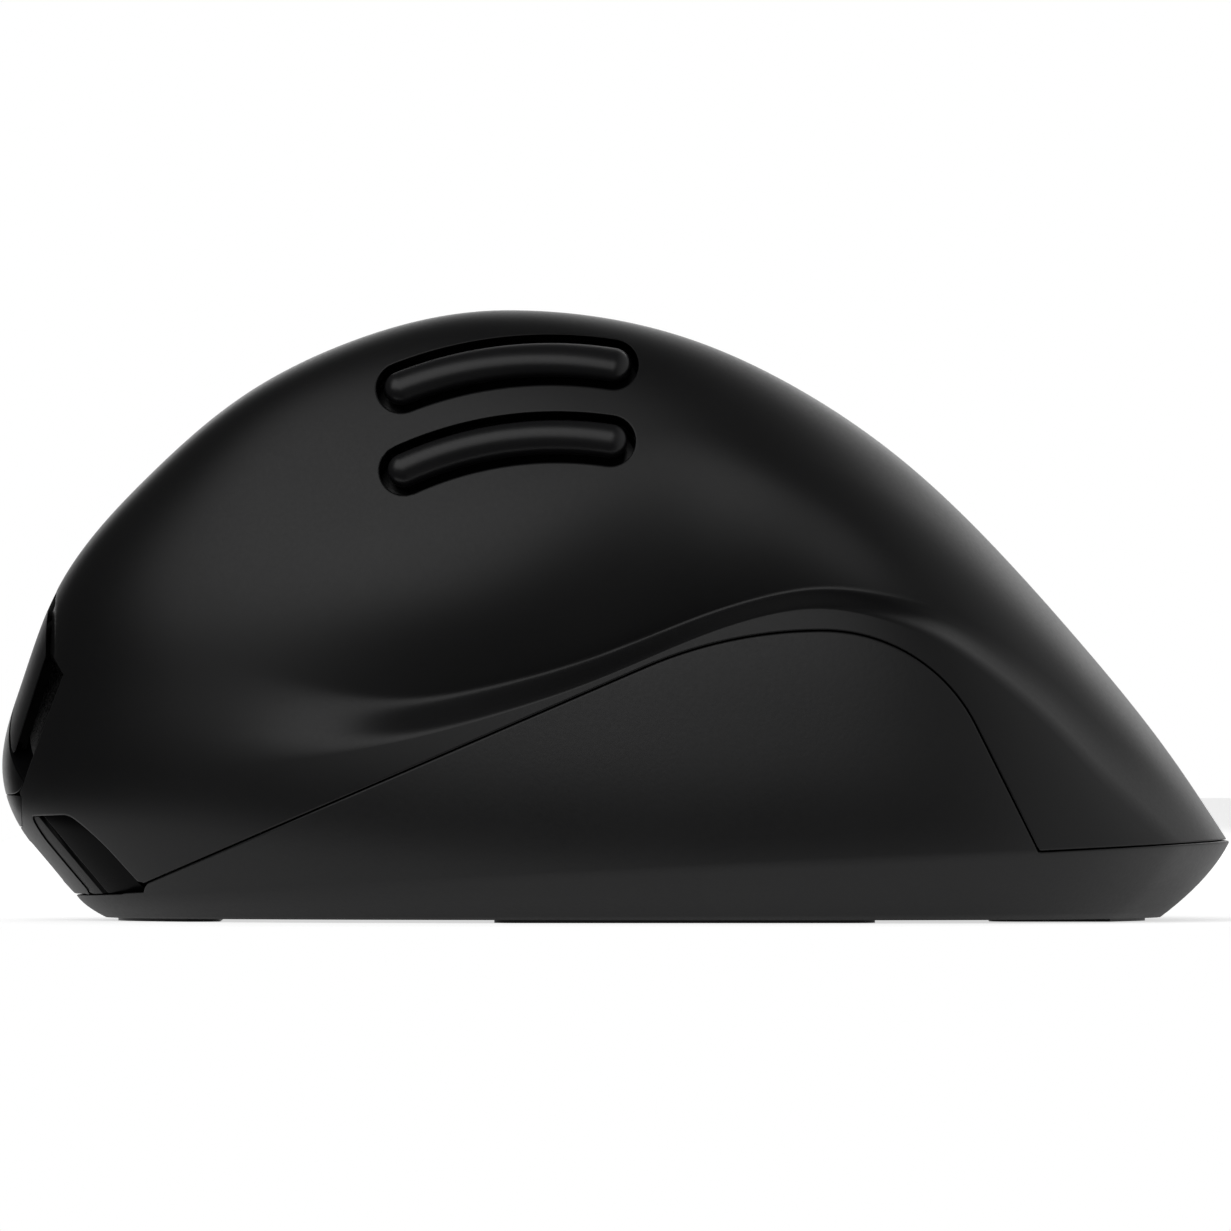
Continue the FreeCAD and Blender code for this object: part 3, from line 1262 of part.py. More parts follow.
def power_slider():
    """Knob of the power switch, low in its slot."""
    half = POWER_SLOT[0] / 2 - SLIDER_GAP
    xs = (POWER_X - half, POWER_X + half)
    front = POWER_Y - POWER_SLOT[1] / 2 + SLIDER_START
    face = UNDERSIDE_Z + SLIDER_RECESS
    knob = block(xs, (front, front + SLIDER_LENGTH), (face, FLOOR_TOP + SLIDER_RISE))
    for i in range(SLIDER_RIBS):
        y = front + SLIDER_RIB_START + i * SLIDER_RIB_PITCH
        ys = (y - SLIDER_RIB_WIDTH / 2, y + SLIDER_RIB_WIDTH / 2)
        knob = knob.cut(block(xs, ys, (0, face + SLIDER_RIB_DEPTH)))
    return knob


def power_switch():
    """Body of the power switch, hung under the main board over the slider."""
    half_x = POWER_SWITCH[0] / 2
    half_y = POWER_SWITCH[1] / 2
    zs = (FLOOR_TOP + UNDER_BOARD_GAP, MAIN_BOARD_Z)
    return block((POWER_X - half_x, POWER_X + half_x), (POWER_Y - half_y, POWER_Y + half_y), zs)


def pairing_button():
    return pin(PAIR_X, POWER_Y, UNDERSIDE_Z + PAIR_RECESS, FLOOR_TOP + PAIR_RISE, PAIR_RADIUS)


def pairing_switch():
    half = TACT_WIDTH / 2
    foot = FLOOR_TOP + PAIR_RISE + PAIR_TRAVEL + SEAT_GAP
    return block((PAIR_X - half, PAIR_X + half), (POWER_Y - half, POWER_Y + half), (foot, MAIN_BOARD_Z))


def radio_shield():
    """Pressed metal can over the radio on the main board."""
    return rounded_block(RADIO_X, RADIO_Y, (MAIN_BOARD_TOP, MAIN_BOARD_TOP + RADIO_HEIGHT), RADIO_CORNER)


def main():
    left_button, right_button = button_plates()
    nodes = {
        "main_shell": main_shell(),
        "base_shell": base_shell(),
        "left_button": left_button,
        "right_button": right_button,
        "centre_strip": centre_strip(),
        "front_chin": chin(),
        "nose_inlay": nose_inlay(),
        "charging_socket": charging_socket(),
        "inner_frame": inner_frame(),
        "button_board": button_board(),
        "left_switch": main_switch(LEFT_SWITCH_SIDE),
        "left_plunger": main_plunger(LEFT_SWITCH_SIDE),
        "right_switch": main_switch(RIGHT_SWITCH_SIDE),
        "right_plunger": main_plunger(RIGHT_SWITCH_SIDE),
        "middle_switch": tact_switch(MIDDLE_SWITCH_PLACE, MIDDLE_SWITCH_HEIGHT),
        "middle_plunger": tact_plunger(MIDDLE_SWITCH_PLACE, MIDDLE_SWITCH_HEIGHT),
        "speed_button": speed_button(),
        "speed_switch": tact_switch(SPEED_PLACE, SPEED_SWITCH_HEIGHT),
        "speed_plunger": tact_plunger(SPEED_PLACE, SPEED_SWITCH_HEIGHT),
        "scroll_hub": scroll_hub(),
        "wheel_tyre": wheel_tyre(),
        "wheel_axle": wheel_axle(),
        "wheel_carrier": wheel_carrier(),
        "wheel_encoder": wheel_encoder(),
        "forward_button": thumb_bar(UPPER_BAR),
        "forward_switch": thumb_switch(UPPER_BAR),
        "forward_plunger": thumb_plunger(UPPER_BAR),
        "back_button": thumb_bar(LOWER_BAR),
        "back_switch": thumb_switch(LOWER_BAR),
        "back_plunger": thumb_plunger(LOWER_BAR),
        "thumb_board": thumb_board(),
        "main_board": main_board(),
        "board_screws": board_screws(),
        "radio_shield": radio_shield(),
        "optical_sensor": optical_sensor(),
        "sensor_lens": sensor_lens(),
        "battery_cell": battery(),
        "power_switch": power_switch(),
        "power_slider": power_slider(),
        "pairing_switch": pairing_switch(),
        "pairing_button": pairing_button(),
        "housing_screws": housing_screws(),
    }
    for name, *size in SKATES:
        nodes[name] = skate(*size, 0, UNDERSIDE_Z + SKATE_RECESS - SKATE_CLEARANCE)
    for name, shape in nodes.items():
        shape.exportStep(f"parts/{name}.step")
        print(name, len(shape.Solids), shape.isValid(), round(shape.Volume, 1))


main()
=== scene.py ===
import json
import math
import bpy
import numpy as np
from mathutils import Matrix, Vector


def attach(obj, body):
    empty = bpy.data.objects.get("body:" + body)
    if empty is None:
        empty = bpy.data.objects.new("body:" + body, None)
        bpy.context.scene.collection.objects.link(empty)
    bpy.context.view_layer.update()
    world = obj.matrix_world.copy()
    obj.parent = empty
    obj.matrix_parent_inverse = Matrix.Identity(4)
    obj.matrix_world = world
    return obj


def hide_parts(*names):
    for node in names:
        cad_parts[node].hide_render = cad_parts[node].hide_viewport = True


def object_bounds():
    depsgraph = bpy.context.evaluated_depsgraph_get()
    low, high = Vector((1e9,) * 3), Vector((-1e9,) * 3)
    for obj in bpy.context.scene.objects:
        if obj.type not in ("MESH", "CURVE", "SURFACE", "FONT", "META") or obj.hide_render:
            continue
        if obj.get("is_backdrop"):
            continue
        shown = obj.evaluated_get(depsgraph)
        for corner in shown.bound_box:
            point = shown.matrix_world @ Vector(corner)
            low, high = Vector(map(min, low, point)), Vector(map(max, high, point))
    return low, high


# Right-hand ergonomic mouse, worked out in millimetres and put into the meshes in metres.
# +X is the thumb side, -Y the nose and +Z up, with the origin on the desk.
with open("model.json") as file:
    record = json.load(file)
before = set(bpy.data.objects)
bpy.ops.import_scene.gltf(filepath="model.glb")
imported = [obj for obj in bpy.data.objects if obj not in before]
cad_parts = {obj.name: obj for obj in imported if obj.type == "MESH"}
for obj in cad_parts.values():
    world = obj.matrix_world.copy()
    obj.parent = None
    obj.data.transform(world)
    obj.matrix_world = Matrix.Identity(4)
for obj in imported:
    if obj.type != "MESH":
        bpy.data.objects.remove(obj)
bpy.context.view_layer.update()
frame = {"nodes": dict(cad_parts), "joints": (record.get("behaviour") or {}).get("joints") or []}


# Main shell: the thumb wall, the palm hump and the tail in one injection moulding of ABS, 2 mm thick.
# It is a hump that stands steep on the thumb side, with a hollow for the thumb above a lip, and slopes
# down under the fingers. It clips over the tray and three screws from below hold its posts.
SUMMIT = 63.1
UNDERSIDE = 0.31
WALL = 2.0
PROFILE_FOOT = 2.0
NOSE_LINE = [(2, -55.3), (9.8, -61.75), (15.5, -63.5), (24, -61.65), (35, -57.3), (46, -48.2),
             (55, -37.3), (60.2, -26.4), (63.1, -11)]
TAIL_LINE = [(2, 67.5), (8.2, 63.5), (17, 57.6), (28.7, 48.2), (39, 38.9), (47.7, 29.6), (56, 17.1),
             (61, 4.9), (63.1, -11)]
THUMB_LINE = [(2, 38.8), (8, 39.5), (20, 38), (30, 35), (40, 30), (50, 24), (58, 18.5), (63.1, 10)]
FINGER_LINE = [(2, -39), (8, -39.5), (20, -37), (30, -31.5), (40, -24), (50, -13.5), (58, -2), (63.1, 10)]
CREST_LINE = [(2, 0), (15, 0), (30, 4), (45, 7), (63.1, 10)]
WIDEST_LINE = [(2, 20), (15, 20), (30, 17), (45, 6), (63.1, -11)]
LIP_LINE = [(-45, 15.5), (-22.3, 18.6), (-11.9, 21.4), (-1.6, 25), (8.8, 29.4), (15, 31.4), (21.3, 32.2),
            (27.5, 31.1), (33.7, 28.5), (39.9, 24), (45.1, 19.4), (50.3, 14), (55.5, 9.1), (64, 0)]
REST_DEPTH = [(-70, 0), (-46, 0), (-38, 0.5), (-30, 1.8), (-22, 3.5), (-12, 5.1), (-2, 6.5), (8, 6.8),
              (15, 5.8), (22, 4.6), (30, 3.8), (40, 3.4), (50, 2.8), (64, 1.2)]
SHELF_WIDTH = [(-70, 12), (-40, 11), (-32, 8), (-22, 4.6), (-12, 3.2), (0, 2.4), (15, 2), (26, 2.6),
               (42, 5), (64, 7)]
HOLLOW_HEIGHT = [(-70, 20), (-30, 20), (-10, 22), (0, 23), (8, 21), (15, 17), (22, 14), (30, 12),
                 (40, 11), (64, 10)]
BELT_Z, BELT_SLOPE = 2.8, 0.047

# Exponents of the outline's blunt ellipse, at the tail and at the nose
BLUNT_THUMB = (2.2, 2.35)
BLUNT_FINGER = (2.3, 2.4)

# Its seams, as they are seen from above or from the thumb side
CREST_SEAM = [(-70, 4.2), (-60, 4.4), (-53, 4.8), (-46, 5.6), (-35, 6.8), (-20, 7.6), (-4, 8.2),
              (12, 7.9)]
PLATE_EDGE = [(14.2, -63.05), (27.2, -58.8), (36.5, -58.5)]
SHELL_EDGE = [(12.9, -61.6), (25.5, -56.9), (27.8, -58.3), (36.5, -58.0)]
UPPER_BAR = [(-22.0, 55.0), (-7.2, 57.9), (-0.2, 57.4)]
LOWER_BAR = [(-21.65, 46.5), (-6.0, 49.9), (-0.5, 49.5)]
INLAY_EDGE = [(-60.3, 10.8), (-56.3, 11.0), (-53.4, 8.8), (-48.2, 3.1), (-54.1, 2.75), (-59.6, 9.3)]
PLATE_FOOT = 14.5
FOOT_GAP = 1.6
FOOT_SLOPE = 0.115
EDGE_TOP = 36.5
BAY_REAR = -32.5
SEAM_GAP = 0.35
CHIN_FOOT, CHIN_TOP, CHIN_REAR = 9.7, 12.9, -61.4
ARCH_Y, ARCH_TOP = 21.3, 30
ARCH_FRONT_RADIUS, ARCH_REAR_RADIUS = 46, 17.5
ARCH_FRONT_TURN, ARCH_REAR_TURN = np.radians(23.4), np.radians(63.5)
SOCKET_Z = 6.1
SOCKET_HALF_WIDTH, SOCKET_HALF_HEIGHT = 4.45, 1.6
SLOT_HALF = 2.6
TRIM_GAP = 0.05
PARTING_GAP = 0.06
SCREW_POSTS = [np.array(place) for place in ((14.0, -45.5, 0.0), (15.0, 46.0, 0.0), (-15.0, 46.0, 0.0))]
HINGES = {"left": (11.5, -13.2), "right": (-12.0, -10.6)}
HINGE_PLACE = -31.4
PIN_RADIUS, PIN_HALF = 1.0, 3.7
CHEEK_WIDTH, CHEEK_RADIUS = 1.4, 1.9
CHEEK_REACH = 4.6

# Directions of the sloping deck under the fingers, which the wheel and the buttons are set out on
joints = {joint["name"]: joint for joint in frame["joints"]}
CRESTWARD = np.array(joints["left_click"]["axis"])
OUTWARD = -np.array(joints["speed_press"]["axis"])
NOSEWARD = np.cross(CRESTWARD, OUTWARD)
WHEEL_CENTRE = np.array(joints["wheel_spin"]["pos_m"]) * 1000
WHEEL_PLACE, WHEEL_DEPTH = 8, 8
DECK = WHEEL_CENTRE - WHEEL_PLACE * NOSEWARD + WHEEL_DEPTH * OUTWARD


def smooth(line, x):
    """Natural cubic through the line's (place, value) points: each span is the cubic whose bending
    runs straight between the bendings at its two ends, which are nought at the line's ends."""
    at = np.array([p[0] for p in line], float)
    value = np.array([p[1] for p in line], float)
    step = np.diff(at)
    count = len(at)
    sums = np.eye(count)
    pull = np.zeros(count)
    inner = np.arange(1, count - 1)
    sums[inner, inner - 1] = step[:-1]
    sums[inner, inner] = 2 * (step[:-1] + step[1:])
    sums[inner, inner + 1] = step[1:]
    pull[1:-1] = 6 * (np.diff(value)[1:] / step[1:] - np.diff(value)[:-1] / step[:-1])
    bend = np.linalg.solve(sums, pull)
    i = np.clip(np.searchsorted(at, x) - 1, 0, count - 2)
    past = x - at[i]
    left = at[i + 1] - x
    curved = (bend[i] * left ** 3 + bend[i + 1] * past ** 3) / (6 * step[i])
    start = (value[i] / step[i] - bend[i] * step[i] / 6) * left
    return curved + start + (value[i + 1] / step[i] - bend[i + 1] * step[i] / 6) * past


def dome(line, z):
    """Profile that closes level at the summit: the smooth line over minus the root of the depth."""
    def depth(height):
        """Minus the root of the depth under the summit, as a share of the whole height."""
        return -np.sqrt(np.clip(SUMMIT - height, 0, None) / (SUMMIT - PROFILE_FOOT))
    return smooth([(depth(place), value) for place, value in line], depth(z))


def ease(t):
    """Goes from 0 to 1 as 3tt - 2ttt."""
    t = np.clip(t, 0, 1)
    return t * t * (3 - 2 * t)


def lean(c):
    """Blend weight c(3 - cc)/2 of a direction's cosine or sine."""
    return c * (3 - c * c) / 2


def level_outline(azimuth, z):
    """Blunt ellipse round the body at height z: reach (|c|^n + |s|^n)^(-1/n) along each azimuth,
    stretched to the four profile lines, less the thumb rest, which rises over a shelf above the
    lip by an ease and fades up the wall as (1 - f)(1 - f)(1 + 0.6 f)."""
    c = np.cos(azimuth)
    s = np.sin(azimuth)
    middle_x = smooth(CREST_LINE, z)
    middle_y = smooth(WIDEST_LINE, z)
    to_thumb = dome(THUMB_LINE, z) - middle_x
    to_finger = middle_x - dome(FINGER_LINE, z)
    to_nose = middle_y - dome(NOSE_LINE, z)
    to_tail = dome(TAIL_LINE, z) - middle_y
    half_width = (to_thumb + to_finger) / 2 + (to_thumb - to_finger) / 2 * lean(c)
    half_length = (to_tail + to_nose) / 2 + (to_tail - to_nose) / 2 * lean(s)
    thumbward = (1 + lean(c)) / 2
    tailward = (1 + lean(s)) / 2
    on_thumb = BLUNT_THUMB[0] * tailward + BLUNT_THUMB[1] * (1 - tailward)
    on_finger = BLUNT_FINGER[0] * tailward + BLUNT_FINGER[1] * (1 - tailward)
    blunt = on_thumb * thumbward + on_finger * (1 - thumbward)
    reach = (np.abs(c) ** blunt + np.abs(s) ** blunt) ** (-1 / blunt)
    x = middle_x + half_width * reach * c
    y = middle_y + half_length * reach * s
    along = np.clip(y, -70, 64)
    width = smooth(SHELF_WIDTH, along)
    above = z - smooth(LIP_LINE, along)
    fade = np.clip((above - 0.35 * width) / smooth(HOLLOW_HEIGHT, along), 0, 1)
    hollow = np.clip(smooth(REST_DEPTH, along), 0, None) * ease(above / width)
    hollow = hollow * (1 - fade) ** 2 * (1 + 0.6 * fade)
    return np.stack([x - hollow * ease((x - middle_x) / 6), y, z + 0 * x], -1)


def belt_z(y):
    """Height of the edge where the side turns under: a line that rises 4.7 mm in 100."""
    return BELT_Z + (y + 47) * BELT_SLOPE


def belt_height(azimuth):
    """Height of the belt at an azimuth: four rounds bring the outline there and the line together."""
    z = np.full_like(azimuth, BELT_Z)
    for _ in range(4):
        z = belt_z(level_outline(azimuth, z)[..., 1])
    return z


def upper_skin(azimuth, v):
    """Skin from the belt (v = 0) to the summit (v = 1): five sixteenths of v go up to the lip of
    the thumb rest, and the rest goes on as a part cosine and part square to the level summit."""
    z = np.full_like(azimuth, 25.0)
    for _ in range(6):
        z = np.clip(smooth(LIP_LINE, np.clip(level_outline(azimuth, z)[..., 1], -45, 64)), 14, 33)
    lip = 16 + (z - 16) * ease((np.cos(azimuth) + 0.15) / 0.5)
    belt = belt_height(azimuth)
    low = np.clip(v * 16 / 5, 0, 1)
    high = np.clip((v * 16 - 5) / 11, 0, 1)
    rise = 0.425 * (1 - np.cos(np.pi * high)) + 0.15 * (1 - (1 - high) ** 2)
    height = np.where(high > 0, lip + (SUMMIT - lip) * rise, belt + (lip - belt) * (1 - (1 - low) ** 1.5))
    return level_outline(azimuth, np.minimum(height, SUMMIT))


def unit(vectors):
    """Each vector over its length."""
    return vectors / np.maximum(np.linalg.norm(vectors, axis=-1, keepdims=True), 1e-9)


def grid_normals(points, wrap):
    """Outward normals of a grid: the cross product of its central differences."""
    if wrap:
        across = np.roll(points, -1, 1) - np.roll(points, 1, 1)
    else:
        across = np.gradient(points, axis=1)
    return unit(np.cross(across, np.gradient(points, axis=0)))


def uphill(field, points):
    """Gradient of a field in space, from its differences over 0.02 mm."""
    steps = np.eye(3) * 0.01
    return np.stack([(field(points + d) - field(points - d)) / 0.02 for d in steps], -1)


def make_piece(name, *parts):
    """One mesh object from parts in millimetres. A part is its points, its arrays of triangles and
    quads, and its normals."""
    mesh = bpy.data.meshes.new(name)
    points = np.concatenate([part[0] for part in parts])
    starts = np.cumsum([0] + [len(part[0]) for part in parts])
    faces = [array + start for part, start in zip(parts, starts) for array in part[1]]
    normals = np.concatenate([part[2] for part in parts])
    sizes = np.concatenate([np.full(len(f), f.shape[1]) for f in faces])
    loops = np.concatenate([f.ravel() for f in faces])
    mesh.vertices.add(len(points))
    mesh.vertices.foreach_set("co", (points / 1000).astype(np.float32).ravel())
    mesh.loops.add(len(loops))
    mesh.loops.foreach_set("vertex_index", loops.astype(np.int32))
    mesh.polygons.add(len(sizes))
    mesh.polygons.foreach_set("loop_start", (np.cumsum(sizes) - sizes).astype(np.int32))
    mesh.polygons.foreach_set("loop_total", sizes.astype(np.int32))
    mesh.polygons.foreach_set("use_smooth", np.ones(len(sizes), bool))
    mesh.update(calc_edges=True)
    mesh.normals_split_custom_set_from_vertices(unit(normals).tolist())
    piece = bpy.data.objects.new(name, mesh)
    bpy.context.scene.collection.objects.link(piece)
    return piece


def trimmed_panel(points, inside, wall, edge, wrap=False, pole=None):
    """Moulded panel: the part of a skin where the seam field is positive, with its rim rounded over
    and turned in to a wall of even thickness. The distance to the seam is the field over its slope
    along the skin. Triangles are cut where that is the rim's radius, and from there a profile runs
    round: a parabola over the corner, the wall of the seam, and the inner face."""
    normals = grid_normals(points, wrap)
    if pole is not None:
        normals[pole] = unit(normals[pole - 1 if pole else 1].mean(0))
    rows, columns = points.shape[:2]
    index = np.arange(rows * columns).reshape(rows, columns)
    if pole is not None:
        index[pole] = index[pole, 0]
    if wrap:
        index = np.concatenate([index, index[:, :1]], 1)
    a, b = index[:-1, :-1].ravel(), index[:-1, 1:].ravel()
    c, d = index[1:, 1:].ravel(), index[1:, :-1].ravel()
    triangles = np.concatenate([np.stack([a, b, c], 1), np.stack([a, c, d], 1)])
    flat = (triangles[:, 0] == triangles[:, 1]) | (triangles[:, 1] == triangles[:, 2])
    triangles = triangles[~(flat | (triangles[:, 0] == triangles[:, 2]))]
    points = points.reshape(-1, 3)
    normals = normals.reshape(-1, 3)

    def along_skin(places, outward):
        """The field's gradient, and its part along the skin."""
        gradient = uphill(inside, places)
        tangent = gradient - (gradient * outward).sum(-1, keepdims=True) * outward
        return gradient, tangent

    tangent = along_skin(points, normals)[1]
    distance = inside(points) / np.maximum(np.linalg.norm(tangent, axis=-1), 0.05) - edge
    within = distance[triangles] > 0
    count = within.sum(1)

    def lined_up(chosen, state):
        """The triangles turned so that the corner whose state is true comes first."""
        first = np.argmax(state, 1)
        order = (first[:, None] + np.arange(3)) % 3
        return np.take_along_axis(chosen, order, 1)

    one = lined_up(triangles[count == 1], within[count == 1])
    two = lined_up(triangles[count == 2], ~within[count == 2])
    cuts = np.concatenate([one[:, [0, 1]], one[:, [0, 2]], two[:, [0, 1]], two[:, [0, 2]]])
    pairs, which = np.unique(np.sort(cuts, 1), axis=0, return_inverse=True)
    which = which.ravel() + len(points)
    low, high = pairs.T
    share = (distance[low] / (distance[low] - distance[high]))[:, None]
    rim = points[low] * (1 - share) + points[high] * share
    rim_normals = unit(normals[low] * (1 - share) + normals[high] * share)
    n1, n2 = len(one), len(two)
    p, q, r, s = which[:n1], which[n1:2 * n1], which[2 * n1:2 * n1 + n2], which[2 * n1 + n2:]
    surface = np.concatenate([
        triangles[count == 3],
        np.stack([one[:, 0], p, q], 1),
        np.stack([r, two[:, 1], two[:, 2]], 1),
        np.stack([r, two[:, 2], s], 1),
    ])
    borders = np.concatenate([np.stack([p, q], 1), np.stack([s, r], 1)])
    borders = borders[borders[:, 0] != borders[:, 1]]
    points = np.concatenate([points, rim])
    normals = np.concatenate([normals, rim_normals])
    used, surface = np.unique(surface, return_inverse=True)
    surface = surface.reshape(-1, 3)
    moved = np.full(len(points), -1)
    moved[used] = np.arange(len(used))
    points = points[used]
    normals = normals[used]
    ring, borders = np.unique(moved[borders], return_inverse=True)
    borders = borders.reshape(-1, 2)
    start = points[ring]
    outward = normals[ring]
    gradient, tangent = along_skin(start, outward)
    gradient = unit(gradient)
    corner = start - unit(tangent) * edge
    down = -unit(outward - (outward * gradient).sum(-1, keepdims=True) * gradient)
    deep = wall / np.clip(-(down * outward).sum(-1, keepdims=True), 0.8, 1)
    rings = []
    ring_normals = []
    for t in (0.25, 0.5, 0.75, 1.0):
        rings.append((1 - t) ** 2 * start + 2 * t * (1 - t) * corner + t * t * (corner + down * edge))
        ring_normals.append((1 - t) * outward - t * gradient)
    rings.append(corner + down * deep)
    ring_normals.append(-gradient)
    total = len(points)
    size = len(ring)
    faces = [surface]
    i, j = borders[:, 0], borders[:, 1]
    before = (ring[j], ring[i])
    for k in range(len(rings)):
        after = (total + k * size + j, total + k * size + i)
        faces.append(np.stack([before[0], before[1], after[1], after[0]], 1))
        before = after
    inner = total + len(rings) * size
    faces.append(np.stack([before[0], before[1], inner + ring[i], inner + ring[j]], 1))
    faces.append(surface[:, ::-1] + inner)
    everything = np.concatenate([points] + rings + [points - normals * wall])
    return everything, faces, np.concatenate([normals] + ring_normals + [-normals])


def soft_min(a, b, k):
    """The smaller of two fields, with the corner between them rounded over the width k."""
    h = np.clip(0.5 + 0.5 * (b - a) / k, 0, 1)
    return b * (1 - h) + a * h - k * h * (1 - h)


def under_arc(dy, dz, radius, turn):
    """Depth under an arc about a centre: the radius less the distance from it, and beyond the turn
    the depth under the straight leg that leaves the arc there."""
    leg = dy * np.sin(turn) + dz * np.cos(turn)
    return radius - np.where(np.arctan2(dy, dz) < turn, np.hypot(dy, dz), leg)


def above_parting(points):
    """Positive over the base: above the belt, and outside an arch made of two tangent arcs with
    straight legs, as it is seen from the thumb side."""
    x, y, z = points[..., 0], points[..., 1], points[..., 2]
    front_z, rear_z = ARCH_TOP - ARCH_FRONT_RADIUS, ARCH_TOP - ARCH_REAR_RADIUS
    front = under_arc(ARCH_Y - y, z - front_z, ARCH_FRONT_RADIUS, ARCH_FRONT_TURN)
    rear = under_arc(y - ARCH_Y, z - rear_z, ARCH_REAR_RADIUS, ARCH_REAR_TURN)
    arch = np.minimum(np.where(y < ARCH_Y, front, rear), x)
    return np.minimum(z - belt_z(y) - 0.3, -arch)


def button_bay(points, grow):
    """Positive in the region of the button plates, or with grow at 1 in the opening round them."""
    x, y, z = points[..., 0], points[..., 1], points[..., 2]
    gap = SEAM_GAP + 0.85 * ease((-4 - y) / 50)
    slope = smooth(CREST_SEAM, y) + grow * gap - x
    rear = (points - DECK) @ NOSEWARD - BAY_REAR + grow * SEAM_GAP
    edge = SHELL_EDGE if grow else PLATE_EDGE
    front = np.interp(z, [e[0] for e in edge], [e[1] for e in edge]) - y
    foot = z - (PLATE_FOOT - grow * FOOT_GAP) - FOOT_SLOPE * (y + 63.5)
    slope = soft_min(slope, rear, 1.2)
    return soft_min(np.maximum(slope, np.minimum(front, EDGE_TOP - z)), foot, 0.8)


def bar_circle(line):
    """Centre and radius of the circle through the line's three points."""
    (y0, z0), (y1, z1), (y2, z2) = line
    rows = np.array([[y1 - y0, z1 - z0], [y2 - y1, z2 - z1]])
    sides = np.array([y1 * y1 - y0 * y0 + z1 * z1 - z0 * z0, y2 * y2 - y1 * y1 + z2 * z2 - z1 * z1]) / 2
    centre = np.linalg.solve(rows, sides)
    return centre, math.hypot(y0 - centre[0], z0 - centre[1])


def bar_shape(points, line, half):
    """Positive inside a bar with round ends about the circle through three points, as it is seen
    from the thumb side: the half height less the distance to that arc."""
    y, z = points[..., 1], points[..., 2]
    centre, radius = bar_circle(line)
    turn = np.arctan2(y - centre[0], z - centre[1])
    start, end = [math.atan2(line[i][0] - centre[0], line[i][1] - centre[1]) for i in (0, 2)]
    ends = np.clip(turn, start, end)
    near_y, near_z = centre[0] + radius * np.sin(ends), centre[1] + radius * np.cos(ends)
    return np.where(points[..., 0] > 10, half - np.hypot(y - near_y, z - near_z), -5.0)


def corner_inlay(points):
    """Positive inside the trim at the thumb-side corner of the nose: the least distance to its
    straight sides, with soft corners."""
    y, z = points[..., 1], points[..., 2]
    field = points[..., 0] - 9
    for (ya, za), (yb, zb) in zip(INLAY_EDGE, INLAY_EDGE[1:] + INLAY_EDGE[:1]):
        side = math.hypot(yb - ya, zb - za)
        field = soft_min(field, ((y - ya) * (zb - za) - (z - za) * (yb - ya)) / side, 0.5)
    return field


def chin_band(points, grow):
    """Positive in the band of the chin at the very front of the nose."""
    y, z = points[..., 1], points[..., 2]
    band = np.minimum(z - CHIN_FOOT + grow, CHIN_TOP + grow - z)
    return soft_min(band, CHIN_REAR + grow - y, 0.4)


def socket_opening(points, grow):
    """Positive inside the charging socket's flat oval, seen from the nose."""
    x, y, z = points[..., 0], points[..., 1], points[..., 2]
    side = SOCKET_HALF_WIDTH - SOCKET_HALF_HEIGHT
    oval = SOCKET_HALF_HEIGHT + grow - np.hypot(np.maximum(np.abs(x) - side, 0), z - SOCKET_Z)
    return np.minimum(oval, -50 - y)


def shell_seam(points):
    """Positive on the shell: over the parting line and outside every opening let into it."""
    field = soft_min(above_parting(points) - PARTING_GAP, -button_bay(points, 1), 0.6)
    field = np.minimum(field, -chin_band(points, TRIM_GAP))
    field = np.minimum(field, -corner_inlay(points))
    field = np.minimum(field, -bar_shape(points, UPPER_BAR, SLOT_HALF))
    field = np.minimum(field, -bar_shape(points, LOWER_BAR, SLOT_HALF))
    return np.minimum(field, -socket_opening(points, SEAM_GAP))


def solid_part(grid, tube):
    """Closed part of a grid that wraps down its columns. Its rows wrap as well for a tube, and
    otherwise each row starts and ends at a pole. Each normal is the sum of its faces' cross products
    of diagonals, so that broad faces stay flat and narrow bevels turn."""
    turns, count = grid.shape[:2]
    index = np.arange(turns * count).reshape(turns, count)
    if tube:
        index = np.concatenate([index, index[:, :1]], 1)
    else:
        index[:, 0], index[:, -1] = 0, count - 1
    below = np.roll(index, -1, 0)
    quads = np.stack([index[:, :-1], below[:, :-1], below[:, 1:], index[:, 1:]], -1)
    faces = [quads.reshape(-1, 4)]
    if not tube:
        faces = [quads[:, 1:-1].reshape(-1, 4), quads[:, 0][:, [0, 2, 3]], quads[:, -1][:, [0, 1, 2]]]
    points = grid.reshape(-1, 3)
    normals = np.zeros_like(points)
    for array in faces:
        corners = points[array]
        push = np.cross(corners[:, 2] - corners[:, 0], corners[:, -1] - corners[:, 1])
        np.add.at(normals, array, push[:, None])
    used = np.unique(np.concatenate([array.ravel() for array in faces]))
    moved = np.zeros(len(points), int)
    moved[used] = np.arange(len(used))
    return points[used], [moved[array] for array in faces], normals[used]


def turned(centre, axis, profile, turns, press=None):
    """Profile of (place along the axis, radius) points carried round the axis, to a ring, or to a
    solid where it starts and ends at no radius. The place and the turn of a point may press it in."""
    profile = np.array(profile, float)
    across = unit(np.cross(axis, [0.3, 0.5, 0.8]))
    upward = np.cross(axis, across)
    turn = np.linspace(0, 2 * np.pi, turns, endpoint=False)[:, None]
    place, radius = profile[:, 0] + 0 * turn, profile[:, 1] + 0 * turn
    if press is not None:
        radius = radius - press(place, turn)
    spoke = np.cos(turn)[..., None] * across + np.sin(turn)[..., None] * upward
    grid = np.array(centre) + place[..., None] * np.array(axis) + radius[..., None] * spoke
    return solid_part(grid, profile[0, 1] > 0)


